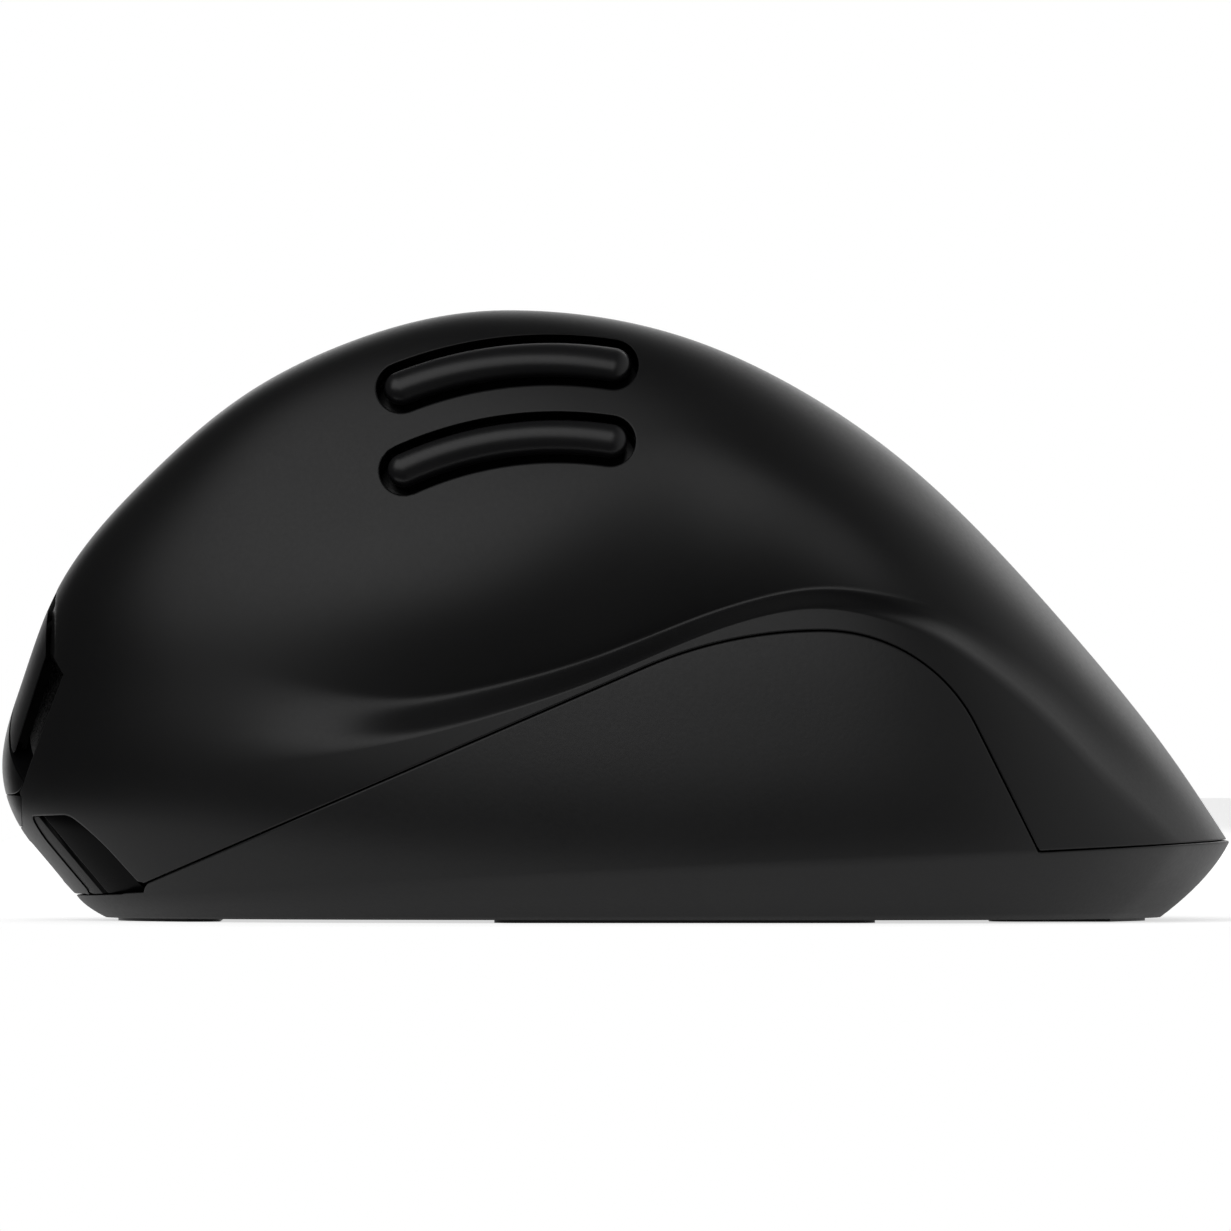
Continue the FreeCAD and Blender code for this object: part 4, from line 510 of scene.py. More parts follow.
def post(low, high, radius, bore=0.0):
    """Profile of a round post with bevelled rims, and with a bore if one is given."""
    rim = 0.15
    outside = [(low, radius - rim), (low + rim, radius), (high - rim, radius), (high, radius - rim)]
    if bore:
        return outside + [(high, bore + rim), (high - rim, bore), (low + rim, bore), (low, bore + rim)]
    return [(low, 0)] + outside + [(high, 0)]


def slab(place, across, along, outline, low, high, rim=0.2):
    """Prism of an outline in the plane of two directions, from low to high over it, with bevelled
    rims. Each end closes at the middle of the outline."""
    outline = np.array(outline, float)
    middle = outline.mean(0)
    inset = outline - unit(outline - middle) * rim
    flat = np.stack([middle + 0 * outline, inset, outline, outline, inset, middle + 0 * outline], 1)
    height = np.array([low, low, low + rim, high - rim, high, high])
    grid = np.array(place) + flat[..., :1] * across + flat[..., 1:] * along
    return solid_part(grid + height[None, :, None] * np.cross(across, along), False)


def oblong(low_x, high_x, low_y, high_y, corner):
    """Outline of a rounded rectangle, from six points on each corner's arc."""
    turn = np.radians(np.arange(0, 91, 18))
    middle_x, middle_y = (low_x + high_x) / 2, (low_y + high_y) / 2
    arcs = []
    for i, (x, y) in enumerate(((high_x, high_y), (low_x, high_y), (low_x, low_y), (high_x, low_y))):
        centre = np.array([x - np.sign(x - middle_x) * corner, y - np.sign(y - middle_y) * corner])
        angle = turn + i * np.pi / 2
        arcs.append(centre + corner * np.stack([np.cos(angle), np.sin(angle)], -1))
    return np.concatenate(arcs)


def linear(code):
    """sRGB hex to linear colour: c / 12.92 up to 0.04045, and ((c + 0.055) / 1.055) to 2.4 over it."""
    parts = [int(code[i:i + 2], 16) / 255 for i in (1, 3, 5)]
    return [c / 12.92 if c <= 0.04045 else ((c + 0.055) / 1.055) ** 2.4 for c in parts] + [1.0]


def add(tree, kind, inputs, **settings):
    """Adds a shader node with its settings. An input is a value, or the output that it is linked to."""
    made = tree.nodes.new("ShaderNode" + kind)
    for name, value in settings.items():
        setattr(made, name, value)
    for name, value in inputs.items():
        if isinstance(value, bpy.types.NodeSocket):
            tree.links.new(value, made.inputs[name])
        else:
            made.inputs[name].default_value = value
    return made


def finish(name, deep, light, roughness, grain, depth, **sockets):
    """Material whose colour and roughness drift over 20 mm, with grains of the given width and depth
    in millimetres, drawn coarser than the real ones where those would not show. The other sockets
    are set by name."""
    material = bpy.data.materials.new(name)
    material.use_nodes = True
    tree = material.node_tree
    shader = tree.nodes["Principled BSDF"]
    place = add(tree, "TexCoord", {}).outputs["Object"]
    drift = add(tree, "TexNoise", {"Vector": place, "Scale": 50.0, "Detail": 3.0}).outputs["Fac"]
    grains = add(tree, "TexNoise", {"Vector": place, "Scale": 1000 / grain, "Detail": 2.0}).outputs["Fac"]
    colour = add(tree, "Mix", {0: drift, 6: linear(deep), 7: linear(light)}, data_type="RGBA").outputs[2]
    both = add(tree, "Math", {0: drift, 1: grains}, operation="ADD").outputs[0]
    ends = {"From Min": 0.6, "From Max": 1.4, "To Min": roughness - 0.04, "To Max": roughness + 0.04}
    shine = add(tree, "MapRange", {"Value": both, **ends}).outputs["Result"]
    bump = add(tree, "Bump", {"Height": grains, "Strength": 1.0, "Distance": depth / 1000})
    tree.links.new(colour, shader.inputs["Base Color"])
    tree.links.new(shine, shader.inputs["Roughness"])
    tree.links.new(bump.outputs["Normal"], shader.inputs["Normal"])
    for socket, value in sockets.items():
        shader.inputs[socket.replace("_", " ")].default_value = value
    return material


def dress(piece, body, material, node):
    """Gives a piece its material, slot and body, and hides the solid that it stands for."""
    piece.data.materials.append(material)
    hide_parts(node)
    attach(piece, body)


def coat(material, *nodes):
    """Gives solids that keep their shape the finish of their real material."""
    for node in nodes:
        frame["nodes"][node].data.materials.clear()
        frame["nodes"][node].data.materials.append(material)


def reach(points, place, axis, radius):
    """How far a post goes from a place along its axis: to the lowest point of the skin within its
    radius, less half a millimetre."""
    height = (points - place) @ axis
    near = np.linalg.norm(points - place - height[..., None] * axis, axis=-1) < radius
    near = near & (height > height[near].max() - 8)
    return height[near].min() - 0.5


def hinge_pivot(name):
    """Middle of a main button's hinge line."""
    side, depth = HINGES[name]
    return DECK + HINGE_PLACE * NOSEWARD + side * CRESTWARD + depth * OUTWARD


# ABS moulded in a finely blasted tool: broad, calm highlights and no visible grain
satin_abs = finish("satin_abs", "#0d0d0e", "#111112", 0.4, 0.4, 0.0012, IOR=1.47)
UP = np.array([0.0, 0.0, 1.0])
BEVEL_DEPTH = 0.55
RIM = 0.22
POST_FOOT, POST_RADIUS, POST_BORE = 2.5, 3.0, 1.1
round_trip = np.linspace(-np.pi / 2, 3 * np.pi / 2, 440, endpoint=False)
skin = upper_skin(*np.meshgrid(round_trip, np.linspace(0, 1, 170)))

# A bevel is pressed into the edge beside the left plate, where the nose turns to the thumb side
bevel = ease((-57.75 - skin[..., 1]) / 0.7) * ease((skin[..., 2] - 26.5) / 1.0)
bevel = bevel * ease((37.5 - skin[..., 2]) / 1.0) * (skin[..., 0] > 5)
skin = skin - (BEVEL_DEPTH * bevel)[..., None] * grid_normals(skin, True)
fittings = []
for place in SCREW_POSTS:
    top = reach(skin, place, UP, POST_RADIUS + 0.2)
    fittings.append(turned(place, UP, post(POST_FOOT, top, POST_RADIUS, POST_BORE), 32))

# Each hinge has a pin between two cheeks, and the cheeks hang from roots under the skin
for name in HINGES:
    pivot = hinge_pivot(name)
    fittings.append(turned(pivot, CRESTWARD, post(-PIN_HALF, PIN_HALF, PIN_RADIUS), 24))
    cheek = oblong(-CHEEK_RADIUS, CHEEK_REACH, -CHEEK_RADIUS, CHEEK_RADIUS, 1.85)
    for low in (PIN_HALF - CHEEK_WIDTH, -PIN_HALF):
        fittings.append(slab(pivot, -NOSEWARD, OUTWARD, cheek, low, low + CHEEK_WIDTH))
        middle = pivot - 3.1 * NOSEWARD + (low + CHEEK_WIDTH / 2) * CRESTWARD
        root = oblong(1.5, CHEEK_REACH, -CHEEK_RADIUS, reach(skin, middle, OUTWARD, 1.8), 0.4)
        fittings.append(slab(pivot, -NOSEWARD, OUTWARD, root, low, low + CHEEK_WIDTH))
shell = make_piece("shell", trimmed_panel(skin, shell_seam, WALL, RIM, wrap=True, pole=169), *fittings)
dress(shell, "housing", satin_abs, "main_shell")


# Base tray: ABS moulding with an undercut edge, a flat underside and a panel that rises under the thumb
# to the arched parting line. Four standoffs carry the main board and a fence holds the battery. Its
# windows are for the sensor, the power slide and the pairing button.
LENS_Y = -12.0
CONTROLS_Y = -2.0
SLIDE_X, PAIRING_X = -9, 9
STANDOFFS = [(-15.0, -22.0), (18.0, -22.0), (-15.0, 5.0), (18.0, 5.0)]
STANDOFF_TOP, STANDOFF_RADIUS, STANDOFF_BORE = 7.6, 2.6, 1.0
FLOOR_TOP = 1.8
FENCE_X, FENCE_LOW_Y, FENCE_HIGH_Y, FENCE_TOP = 17.2, 12.8, 41.2, 6.3


def under_skin(azimuth, s):
    """Undercut from the underside (s = 0) to the belt (s = 1): the belt's outline drawn in by a
    share that grows as s(1.45 - 0.45 s)."""
    belt = level_outline(azimuth, belt_height(azimuth))
    keep = 0.885 + 0.065 * ease((-np.sin(azimuth) - 0.2) / 0.8)
    share = keep + (1 - keep) * s * (1.45 - 0.45 * s)
    z = UNDERSIDE + (belt[..., 2] - UNDERSIDE) * s
    return np.stack([belt[..., 0] * share, 2 + (belt[..., 1] - 2) * share, z], -1)


def tray_seam(points):
    """Positive on the tray: under the parting line, outside the corner trim and the three windows."""
    x, y = points[..., 0], points[..., 1]
    field = np.minimum(-above_parting(points) - PARTING_GAP, -corner_inlay(points))
    lens = 3.6 - np.maximum(np.abs(x), np.abs(y - LENS_Y) - 1.0)
    power = np.minimum(1.6 - np.abs(x - SLIDE_X), 4.0 - np.abs(y - CONTROLS_Y))
    pairing = 2.6 - np.hypot(x - PAIRING_X, y - CONTROLS_Y)
    holes = np.maximum(np.maximum(lens, power), pairing)
    return np.minimum(field, np.where(points[..., 2] < 3, -holes, 9.0))


# ABS from a spark-eroded mould: a fine sparkle. The real grain is about 0.1 mm wide and would not
# show, so it is drawn 0.45 mm wide.
sparked_abs = finish("sparked_abs", "#111112", "#161617", 0.42, 0.45, 0.01, IOR=1.5)
azimuth = np.linspace(-np.pi / 2, 3 * np.pi / 2, 400, endpoint=False)
edge_ring = under_skin(azimuth, np.zeros(400))
spread = np.linspace(0, 1, 46)[:-1, None, None]
bottom = np.array([0, 2, UNDERSIDE]) * (1 - spread) + edge_ring * spread
bowl = under_skin(*np.meshgrid(azimuth, np.linspace(0, 1, 12)[:-1]))
side = upper_skin(*np.meshgrid(azimuth, np.linspace(0, 0.5, 80)))
fence = []
for w in (1.05, 1.2, 1.2, 1.05, 0.15, 0.0, 0.0, 0.15):
    fence.append(oblong(-FENCE_X - w, FENCE_X + w, FENCE_LOW_Y - w, FENCE_HIGH_Y + w, 0.5 + w))
fence = np.stack(fence, 1)
height = np.array([FLOOR_TOP, FLOOR_TOP + 0.15, FENCE_TOP - 0.15, FENCE_TOP])
height = np.concatenate([height, height[::-1]])
fence = np.concatenate([fence, height[None, :, None] + 0 * fence[..., :1]], -1)
standoff = post(FLOOR_TOP, STANDOFF_TOP, STANDOFF_RADIUS, STANDOFF_BORE)
fittings = [turned((x, y, 0), UP, standoff, 32) for x, y in STANDOFFS]
fittings.append(solid_part(fence, True))
panel = trimmed_panel(np.concatenate([bottom, bowl, side]), tray_seam, WALL, RIM, wrap=True, pole=0)
tray = make_piece("tray", panel, *fittings)
dress(tray, "housing", sparked_abs, "base_shell")


# Inner frame and wheel yoke: nylon filled with glass fibre, moulded and pushed onto pins. The frame is a
# sloping deck under the fingers, with legs to the tray and a wall behind the thumb buttons.
# Glass-filled nylon is dull, and a little uneven where fibres lie at the surface.
glass_nylon = finish("glass_nylon", "#121213", "#1b1b1c", 0.55, 0.6, 0.004)
coat(glass_nylon, "inner_frame", "wheel_carrier")

# Circuit boards: glass epoxy under green solder mask, screwed to the tray and pressed onto the deck.
# Solder mask is smooth and glossy, with the weave of the glass just showing.
solder_mask = finish("solder_mask", "#12502c", "#1b6a3c", 0.28, 1.2, 0.01)
coat(solder_mask, "main_board", "button_board", "thumb_board")

# Switches, encoder and sensor: moulded black cases with white acetal plungers, soldered to the boards.
# The cases are half matt, the plungers waxy and pale, and the sensor's epoxy is dull.
switch_case = finish("switch_case", "#18181a", "#1f1f21", 0.5, 0.4, 0.003)
plunger_acetal = finish("plunger_acetal", "#c9c5b8", "#d6d2c6", 0.38, 0.8, 0.002)
epoxy_case = finish("epoxy_case", "#141414", "#1b1b1b", 0.62, 0.3, 0.004)
coat(switch_case, "left_switch", "right_switch", "middle_switch", "speed_switch", "forward_switch")
coat(switch_case, "back_switch", "power_switch", "pairing_switch", "wheel_encoder")
coat(plunger_acetal, "left_plunger", "right_plunger", "middle_plunger", "speed_plunger")
coat(plunger_acetal, "forward_plunger", "back_plunger")
coat(epoxy_case, "optical_sensor")

# Metal fittings: the ground axle, the stainless socket, the tinned can over the radio and the screws.
# Ground steel is bright, pressed and tinned steel softer and cloudy, and black zinc a dark grey sheen.
ground_steel = finish("ground_steel", "#b4b4b8", "#c4c4c8", 0.24, 0.3, 0.001, Metallic=1.0)
pressed_steel = finish("pressed_steel", "#a9a9ae", "#bbbbc0", 0.3, 1.2, 0.002, Metallic=1.0)
tinned_steel = finish("tinned_steel", "#b8b8b4", "#c9c9c4", 0.32, 1.5, 0.003, Metallic=1.0)
black_zinc = finish("black_zinc", "#4a4a4d", "#5c5c60", 0.38, 0.5, 0.002, Metallic=1.0)
coat(ground_steel, "wheel_axle")
coat(pressed_steel, "charging_socket")
coat(tinned_steel, "radio_shield")
coat(black_zinc, "board_screws", "housing_screws")

# Battery: a lithium pouch cell that lies between the fence's walls on the tray. Its laminated
# aluminium foil is soft and faintly wrinkled.
pouch_foil = finish("pouch_foil", "#b5b7ba", "#c4c6ca", 0.36, 4.0, 0.03, Metallic=1.0)
coat(pouch_foil, "battery_cell")

# Underside fittings: the sensor's polycarbonate lens, as clear as glass, the satin grey ABS slide of
# the power switch, and five smooth slip pads that are stuck into recesses of the tray.
see_through = {"IOR": 1.58, "Transmission_Weight": 0.9}
clear_lens = finish("clear_lens", "#e4e8ec", "#eef1f4", 0.08, 2.0, 0.0005, **see_through)
slider_abs = finish("slider_abs", "#303032", "#39393b", 0.36, 0.4, 0.002)
slip_pad = finish("slip_pad", "#202021", "#29292a", 0.34, 0.7, 0.003, IOR=1.38)
coat(clear_lens, "sensor_lens")
coat(slider_abs, "power_slider")
coat(slip_pad, "front_skate", "mid_left_skate", "mid_right_skate", "rear_left_skate", "rear_right_skate")


# Pairing button: a small round ABS key in the underside, with a dished face and a rounded rim. It
# is held behind the tray and pushed up onto its switch.
PAIRING_RADIUS = 2.4
dish = np.linspace(0, 1, 8)
face = np.stack([0.9 - 0.25 * dish ** 2, 1.9 * dish], -1)
rim = [(0.66, 2.1), (0.72, 2.28), (0.85, 2.38), (1.0, PAIRING_RADIUS)]
stem = [(3.7, PAIRING_RADIUS), (3.85, 2.3), (3.91, 2.1), (3.91, 0)]
key = np.concatenate([face, rim, stem])
pairing = make_piece("pairing_key", turned((PAIRING_X, CONTROLS_Y, 0), UP, key, 64))
dress(pairing, "pairing_button", slider_abs, "pairing_button")


# Main buttons: two thin ABS plates over the finger slope, in the shell's own finish. A lug under the
# rear edge swings on the shell's pin, and a post under the middle meets the switch.
STRIP_HALF = 6
LUG_HALF = 2.0
CLICK_FOOT = -7.1
PLATE_WALL = 1.2


def plate_seam(side):
    """Seam field of one button plate: the bay, on its side of the strip between the plates."""
    def field(points):
        """The bay with what lies within the strip's half width and the gap taken off."""
        beside = side * ((points - DECK) @ CRESTWARD) - (STRIP_HALF + SEAM_GAP)
        return soft_min(button_bay(points, 0), beside, 0.5)
    return field


plates = upper_skin(*np.meshgrid(np.radians(np.linspace(75, 330, 380)), np.linspace(0.1, 1, 170)))
for name, sign, switch in (("left", 1, 12.0), ("right", -1, -13.5)):
    pivot = hinge_pivot(name)
    place = DECK + WHEEL_PLACE * NOSEWARD + switch * CRESTWARD
    lug = turned(pivot, CRESTWARD, post(-LUG_HALF, LUG_HALF, CHEEK_RADIUS, PIN_RADIUS + 0.05), 32)
    web = oblong(-1.0, 0.9, 1.5, reach(plates, pivot, OUTWARD, 2.4), 0.3)
    web = slab(pivot, NOSEWARD, OUTWARD, web, -LUG_HALF, LUG_HALF)
    click_post = turned(place, OUTWARD, post(CLICK_FOOT, reach(plates, place, OUTWARD, 1.8), 1.6), 32)
    panel = trimmed_panel(plates, plate_seam(sign), PLATE_WALL, 0.3)
    plate = make_piece(name + "_plate", panel, lug, web, click_post)
    dress(plate, name + "_button", satin_abs, name + "_button")


# Centre strip: a black trim moulding between the plates, polished in the tool. It is open for the wheel
# and for the speed button, and two feet stand on the deck of the inner frame.
SPEED_PLACE = -17.8
SLOT_LENGTH, SLOT_WIDTH = 12.6, 3.8
STRIP_FEET = (-24.5, 23.5)
STRIP_FOOT = -15.8


def strip_seam(points):
    """Positive on the strip: the middle of the bay, less the wheel's slot and the button's hole."""
    place = points - DECK
    p, q = place @ NOSEWARD, place @ CRESTWARD
    slot = SLOT_LENGTH - np.maximum(np.abs(p - WHEEL_PLACE), np.abs(q) + SLOT_LENGTH - SLOT_WIDTH)
    hole = 2.8 - np.maximum(np.abs(p - SPEED_PLACE) - 1.5, np.abs(q))
    field = np.minimum(button_bay(points, 1), STRIP_HALF - np.abs(q))
    field = soft_min(field, p - BAY_REAR, 0.5)
    field = np.minimum(field, -chin_band(points, TRIM_GAP))
    return np.minimum(field, -np.maximum(slot, hole))


# ABS from a polished tool: deep black with small clear reflections
polished_abs = finish("polished_abs", "#050506", "#080809", 0.28, 0.6, 0.0005, Specular_IOR_Level=0.1)
feet = []
for p in STRIP_FEET:
    top = reach(plates, DECK + p * NOSEWARD, OUTWARD, 2.6)
    foot = oblong(p - 1.5, p + 1.5, -2.0, 2.0, 0.3)
    feet.append(slab(DECK, NOSEWARD, CRESTWARD, foot, STRIP_FOOT, top))
strip = make_piece("strip", trimmed_panel(plates, strip_seam, WALL, 0.2), *feet)
dress(strip, "housing", polished_abs, "centre_strip")


# Chin: a black ABS trim moulding, from the same polished tool as the strip, that closes the nose
# under the plates. It is pushed into the shell's opening from the front.
TRIM_WALL = 1.2


def skin_grid(near, columns, rows, start=-90):
    """Even grid over the least patch of the upper skin that holds the places where near is true."""
    azimuth, v = np.meshgrid(np.radians(start) + np.linspace(0, 2 * np.pi, 361), np.linspace(0, 1, 181))
    there = near(upper_skin(azimuth, v))
    low_a, high_a = azimuth[there].min() - 0.03, azimuth[there].max() + 0.03
    low_v, high_v = max(v[there].min() - 0.012, 0), min(v[there].max() + 0.012, 1)
    span = np.linspace(low_a, high_a, columns)
    return upper_skin(*np.meshgrid(span, np.linspace(low_v, high_v, rows)))


chin_grid = skin_grid(lambda p: chin_band(p, 0.5) > 0, 120, 60, start=-270)
chin = trimmed_panel(chin_grid, lambda p: chin_band(p, TRIM_GAP), TRIM_WALL, 0.12)
chin = make_piece("chin", chin)
dress(chin, "housing", polished_abs, "front_chin")


# Corner trim: a black moulding let into the thumb-side corner of the nose. It leans in from its nose
# edge, so it lies deeper towards the thumb, and one seam runs along it.
INLAY_INWARD = np.array([-0.57, 0.82, 0.0])
INLAY_RECESS, INLAY_SLOPE, INLAY_SCOOP = 0.15, 0.4, 0.05
INLAY_SEAM, INLAY_GROOVE, INLAY_GROOVE_HALF = 1.15, 0.5, 0.2


def sunk_corner(points):
    """The skin sunk inward by the recess, and past the seam by the slope times the distance from it
    and the scoop times its square as well. Across the groove at the seam its depth is a parabola."""
    (y_top, z_top), (y_foot, z_foot) = INLAY_EDGE[5], INLAY_EDGE[4]
    run, fall = y_foot - y_top, z_top - z_foot
    across = ((points[..., 1] - y_top) * fall + (points[..., 2] - z_top) * run) / math.hypot(run, fall)
    groove = INLAY_GROOVE * np.clip(1 - ((across - INLAY_SEAM) / INLAY_GROOVE_HALF) ** 2, 0, 1)
    past = np.clip(across - INLAY_SEAM, 0, None)
    sink = INLAY_RECESS + INLAY_SLOPE * past + INLAY_SCOOP * past ** 2 + groove
    return points + INLAY_INWARD * sink[..., None]


inlay_grid = skin_grid(lambda p: corner_inlay(p + [-0.6, 0.6, 0]) > -1.5, 260, 220)
inlay = make_piece("inlay", trimmed_panel(sunk_corner(inlay_grid), corner_inlay, TRIM_WALL, 0.1))
dress(inlay, "housing", polished_abs, "nose_inlay")


# Thumb buttons: two curved ABS bars with a crowned face, proud of their slots. A flange behind the wall
# keeps each one in, a little lower than the slot to clear the ridge, and a stem is pushed straight in
# onto a switch on the thumb board.
BAR_HALF, BAR_PROUD = 1.75, 0.7
BAR_CROWN, BAR_LEAN = 1.5, 0.45
BAR_WALL = 1.4
FLANGE_HALF, FLANGE_DEPTH, FLANGE_DROP, FLANGE_WALL = 2.8, 3.8, 1.9, 0.8
STEM_FOOT = 12.4
INWARD = np.array([-1.0, 0.0, 0.0])


def crowned(points, line):
    """The skin moved outward by the proud height and by a lean times the distance over the bar's
    middle, less a crown that falls as 1 - sqrt(1 - dd), where d is the distance over half the height."""
    centre, radius = bar_circle(line)
    above = np.hypot(points[..., 1] - centre[0], points[..., 2] - centre[1]) - radius
    off = 1 - np.clip(bar_shape(points, line, BAR_HALF) / BAR_HALF, 0, 1)
    fall = 1 - np.sqrt(1 - 0.92 * off ** 2)
    return points - INWARD * (BAR_PROUD + BAR_LEAN * np.clip(above, -2, 2) - BAR_CROWN * fall)[..., None]


# ABS from a finely polished tool: satin, a little brighter in its highlights than the shell
button_abs = finish("button_abs", "#121213", "#171719", 0.33, 0.5, 0.0008, IOR=1.5)
for name, line in (("forward", UPPER_BAR), ("back", LOWER_BAR)):
    grid = skin_grid(lambda p: bar_shape(p, line, BAR_HALF + 0.4) > 0, 260, 100)
    cap = trimmed_panel(crowned(grid, line), lambda p: bar_shape(p, line, BAR_HALF), BAR_WALL, 0.3)
    place = np.array([0.0, *line[1]])
    stem = turned(place, -INWARD, post(STEM_FOOT, reach(grid, place, -INWARD, 1.4) - 0.5, 1.0), 32)
    wide = skin_grid(lambda p: bar_shape(p, line, FLANGE_HALF + FLANGE_DROP + 0.4) > 0, 160, 60)
    wide = wide + INWARD * FLANGE_DEPTH
    flange = trimmed_panel(
        wide, lambda p: bar_shape(p + FLANGE_DROP * UP, line, FLANGE_HALF), FLANGE_WALL, 0.2)
    bar = make_piece(name + "_bar", cap, stem, flange)
    dress(bar, name + "_button", button_abs, name + "_button")


# Speed button: a small oblong ABS cap behind the wheel, held up in the strip's hole by the switch
# under it. Its stem is pressed down onto that switch.
SPEED_FOOT = -8.8
SPEED_PROUD = 0.4


def cap_seam(points):
    """Positive inside a rounded oblong, 8 mm by 5 mm, in the plane of the deck."""
    place = points - DECK
    p, q = place @ NOSEWARD - SPEED_PLACE, place @ CRESTWARD
    beyond = np.hypot(np.maximum(np.abs(p) - 2.5, 0), np.maximum(np.abs(q) - 1.0, 0))
    return np.where(place @ OUTWARD > -12, 1.5 - beyond, -5.0)


cap_grid = skin_grid(lambda p: cap_seam(p) > -0.3, 90, 70) + OUTWARD * SPEED_PROUD
stem = turned(DECK + SPEED_PLACE * NOSEWARD, OUTWARD, post(SPEED_FOOT, -5.5, 1.5), 32)
cap = make_piece("speed_cap", trimmed_panel(cap_grid, cap_seam, 4.0, 0.3), stem)
dress(cap, "speed_button", button_abs, "speed_button")


# Scroll wheel: a dark acetal hub on the axle, with a soft rubber tyre moulded over it. The tyre has 30
# shallow grooves across its tread for grip.
TYRE_RADIUS, TYRE_INNER = 12.0, 10.3
TYRE_HALF, TYRE_ROUND = 3.2, 1.1
GROOVES, GROOVE_DEPTH = 30, 0.38
GROOVE_HALF = np.radians(2.6)


def arc_points(place, radius, start, end):
    """Nine points on the tyre's rounded edge, from one angle to another in degrees."""
    turn = np.radians(np.linspace(start, end, 9))
    return np.stack([place + TYRE_ROUND * np.cos(turn), radius + TYRE_ROUND * np.sin(turn)], -1)


def tread(place, turn):
    """Depth of the grooves: a half cosine over 2.6 degrees each side of every twelfth degree, which
    fades out from 1.6 to 2.1 mm off the middle of the tread."""
    step = 2 * np.pi / GROOVES
    off = np.abs((turn + step / 2) % step - step / 2)
    shape = np.cos(np.pi / 2 * np.clip(off / GROOVE_HALF, 0, 1))
    return GROOVE_DEPTH * shape * ease((2.1 - np.abs(place)) / 0.5)


tyre_profile = np.concatenate([
    [(-TYRE_HALF, TYRE_INNER + 0.06), (-TYRE_HALF, TYRE_INNER + 0.3)],
    arc_points(TYRE_ROUND - TYRE_HALF, TYRE_RADIUS - TYRE_ROUND, 180, 90),
    [(place, TYRE_RADIUS) for place in np.linspace(-2.05, 2.05, 19)],
    arc_points(TYRE_HALF - TYRE_ROUND, TYRE_RADIUS - TYRE_ROUND, 90, 0),
    [(TYRE_HALF, TYRE_INNER + 0.3), (TYRE_HALF, TYRE_INNER + 0.06)],
    [(TYRE_HALF - 0.06, TYRE_INNER), (0.06 - TYRE_HALF, TYRE_INNER)],
])
# Acetal is waxy and dark. Soft rubber has no clear highlight, only a sheen along its edges.
acetal = finish("acetal", "#1e1e20", "#252527", 0.4, 0.8, 0.002)
soft_rubber = finish("soft_rubber", "#131313", "#1a1a1a", 0.72, 0.35, 0.006, IOR=1.5)
coat(acetal, "scroll_hub")
tyre = make_piece("tyre", turned(WHEEL_CENTRE, CRESTWARD, tyre_profile, 720, tread))
dress(tyre, "scroll_wheel", soft_rubber, "wheel_tyre")


# Floor: a pale matt sheet with the mouse's shadow. It shines by itself to what the camera and mirrors
# see, so that it reads as white paper without more light on the mouse.
floor_paper = bpy.data.materials.new("floor_paper")
floor_paper.use_nodes = True
tree = floor_paper.node_tree
shader = tree.nodes["Principled BSDF"]
shader.inputs["Base Color"].default_value = linear("#efefef")
shader.inputs["Roughness"].default_value = 0.9
shader.inputs["Specular IOR Level"].default_value = 0.1
shader.inputs["Emission Color"].default_value = (1, 1, 1, 1)
path = add(tree, "LightPath", {}).outputs
seen = add(tree, "Math", {0: path["Is Camera Ray"], 1: path["Is Glossy Ray"]}, operation="MAXIMUM")
seen = {0: seen.outputs[0], 1: path["Is Transmission Ray"]}
seen = add(tree, "Math", seen, operation="MAXIMUM").outputs[0]
glow = add(tree, "Math", {0: seen, 1: 0.3}, operation="MULTIPLY").outputs[0]
glow = {0: path["Is Camera Ray"], 1: 0.35, 2: glow}
glow = add(tree, "Math", glow, operation="MULTIPLY_ADD").outputs[0]
tree.links.new(glow, shader.inputs["Emission Strength"])
sheet = bpy.data.meshes.new("floor")
corners = [(-2, -0.085, 0), (0.065, -0.085, 0), (0.065, 0.8, 0), (-2, 0.8, 0)]
sheet.from_pydata(corners, [], [(0, 1, 2, 3)])
sheet.materials.append(floor_paper)
floor = bpy.data.objects.new("floor", sheet)
bpy.context.scene.collection.objects.link(floor)
floor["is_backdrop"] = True

# World: white to the camera. What gloss reflects is the white wall behind the mouse, a pale one beyond
# its tail and a dark room elsewhere. Matt surfaces get about a fifth of white from all sides.
world = bpy.data.worlds.new("studio")
world.use_nodes = True
world.cycles.sampling_method = "NONE"
bpy.context.scene.world = world
tree = world.node_tree
background = tree.nodes["Background"]
background.inputs["Color"].default_value = (1, 1, 1, 1)
direction = add(tree, "TexCoord", {}).outputs["Generated"]
toward = add(tree, "SeparateXYZ", {"Vector": direction}).outputs
tailward = {"Value": toward["Y"], "From Min": 0.15, "From Max": 0.9, "To Min": 0.05, "To Max": 0.45}
behind = {"Value": toward["X"], "From Min": -0.98, "From Max": -0.85, "To Min": 1.0, "To Max": 0.0}
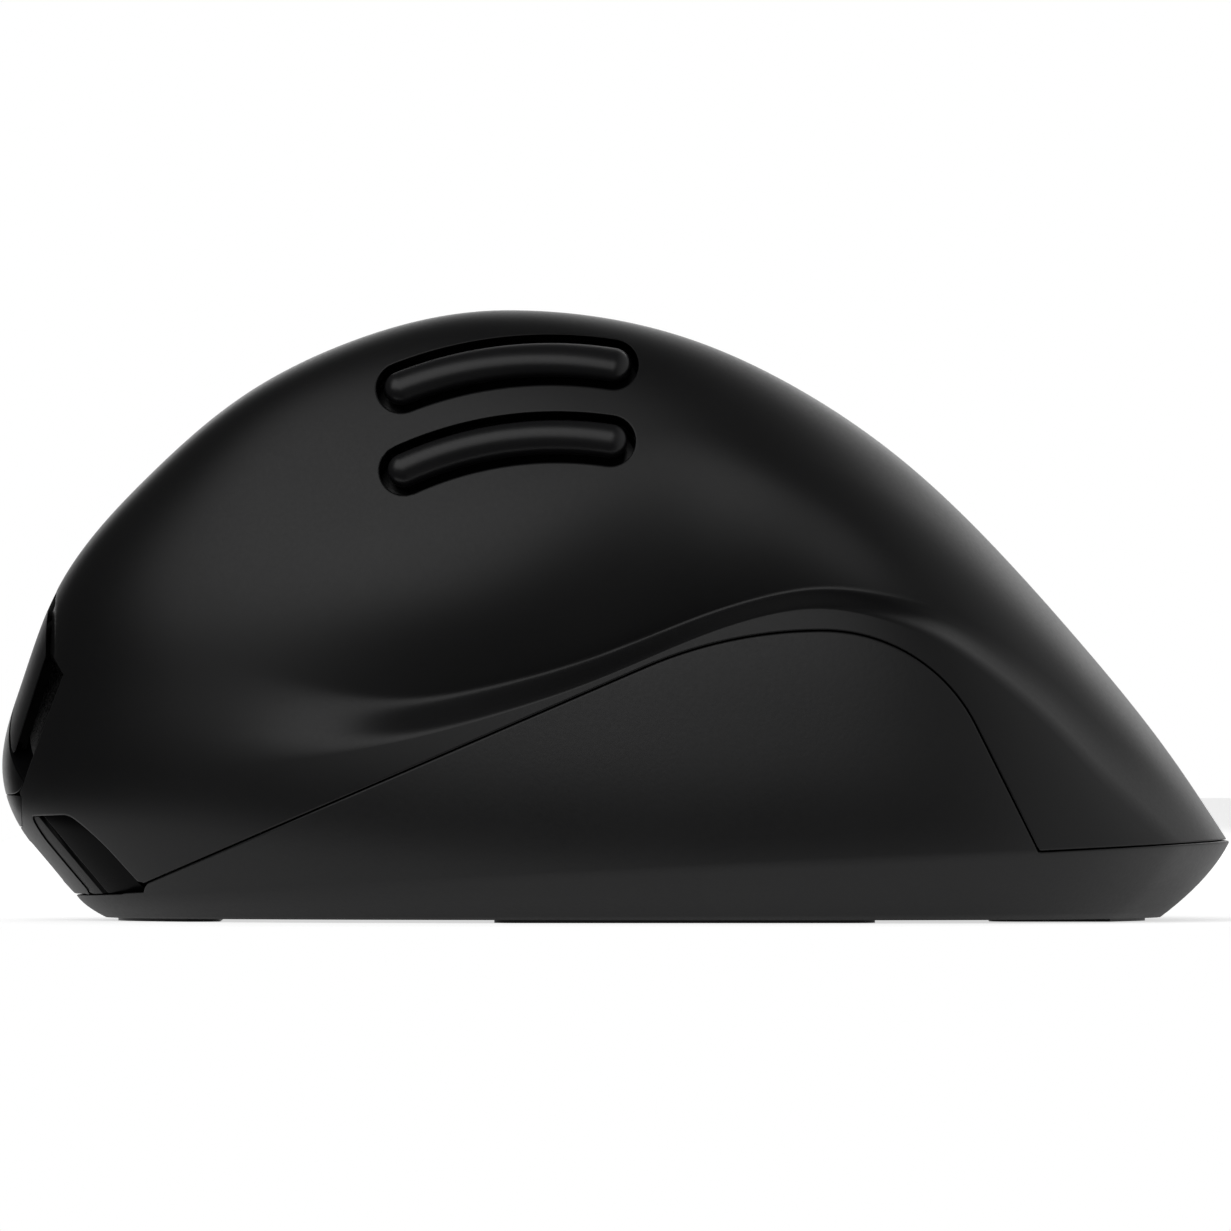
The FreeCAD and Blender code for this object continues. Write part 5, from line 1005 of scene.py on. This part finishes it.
tailward = add(tree, "MapRange", tailward, interpolation_type="SMOOTHSTEP").outputs["Result"]
behind = add(tree, "MapRange", behind, interpolation_type="SMOOTHSTEP").outputs["Result"]
wall = add(tree, "Math", {0: tailward, 1: behind}, operation="MAXIMUM").outputs[0]
path = add(tree, "LightPath", {}).outputs
mirrored = {0: path["Is Glossy Ray"], 1: path["Is Transmission Ray"]}
mirrored = add(tree, "Math", mirrored, operation="MAXIMUM").outputs[0]
light = add(tree, "Mix", {0: mirrored, 2: 0.22, 3: wall}, data_type="FLOAT").outputs[0]
light = add(tree, "Mix", {0: path["Is Camera Ray"], 2: light, 3: 1.0}, data_type="FLOAT").outputs[0]
tree.links.new(light, background.inputs["Strength"])


def softbox(name, place, size, power):
    """Rectangular studio lamp that faces the mouse: its back looks along the place's own direction."""
    data = bpy.data.lights.new(name, "AREA")
    data.shape = "RECTANGLE"
    data.size, data.size_y = size
    data.energy = power
    light = bpy.data.objects.new(name, data)
    light.location = place
    light.rotation_euler = (Vector(place) - Vector((0, 0, 0.03))).to_track_quat("Z", "Y").to_euler()
    bpy.context.scene.collection.objects.link(light)


# The broad main softbox stands over the camera, a weaker one opposite lights the finger slope
softbox("softbox", (0.7, -0.42, 0.82), (1.3, 0.95), 4.4)
softbox("fill", (-1.0, 0.1, 0.6), (1.1, 0.8), 2.4)

# Camera: level with the middle of the mouse, on its thumb side, 3 m away with a long lens. The frame
# is 127.62 mm wide at the mouse.
CAMERA_DISTANCE = 3000
FRAME_WIDTH = 127.62
camera_data = bpy.data.cameras.new("camera")
camera_data.sensor_width = 36
camera_data.lens = 36 * CAMERA_DISTANCE / FRAME_WIDTH
camera_data.clip_start = 0.1
camera_data.clip_end = 50
camera = bpy.data.objects.new("camera", camera_data)
camera.location = (CAMERA_DISTANCE / 1000, 0.00005, 0.03155)
camera.rotation_euler = (math.pi / 2, 0, math.pi / 2)
bpy.context.scene.collection.objects.link(camera)
bpy.context.scene.camera = camera

bpy.context.scene.view_settings.view_transform = "Standard"
low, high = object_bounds()
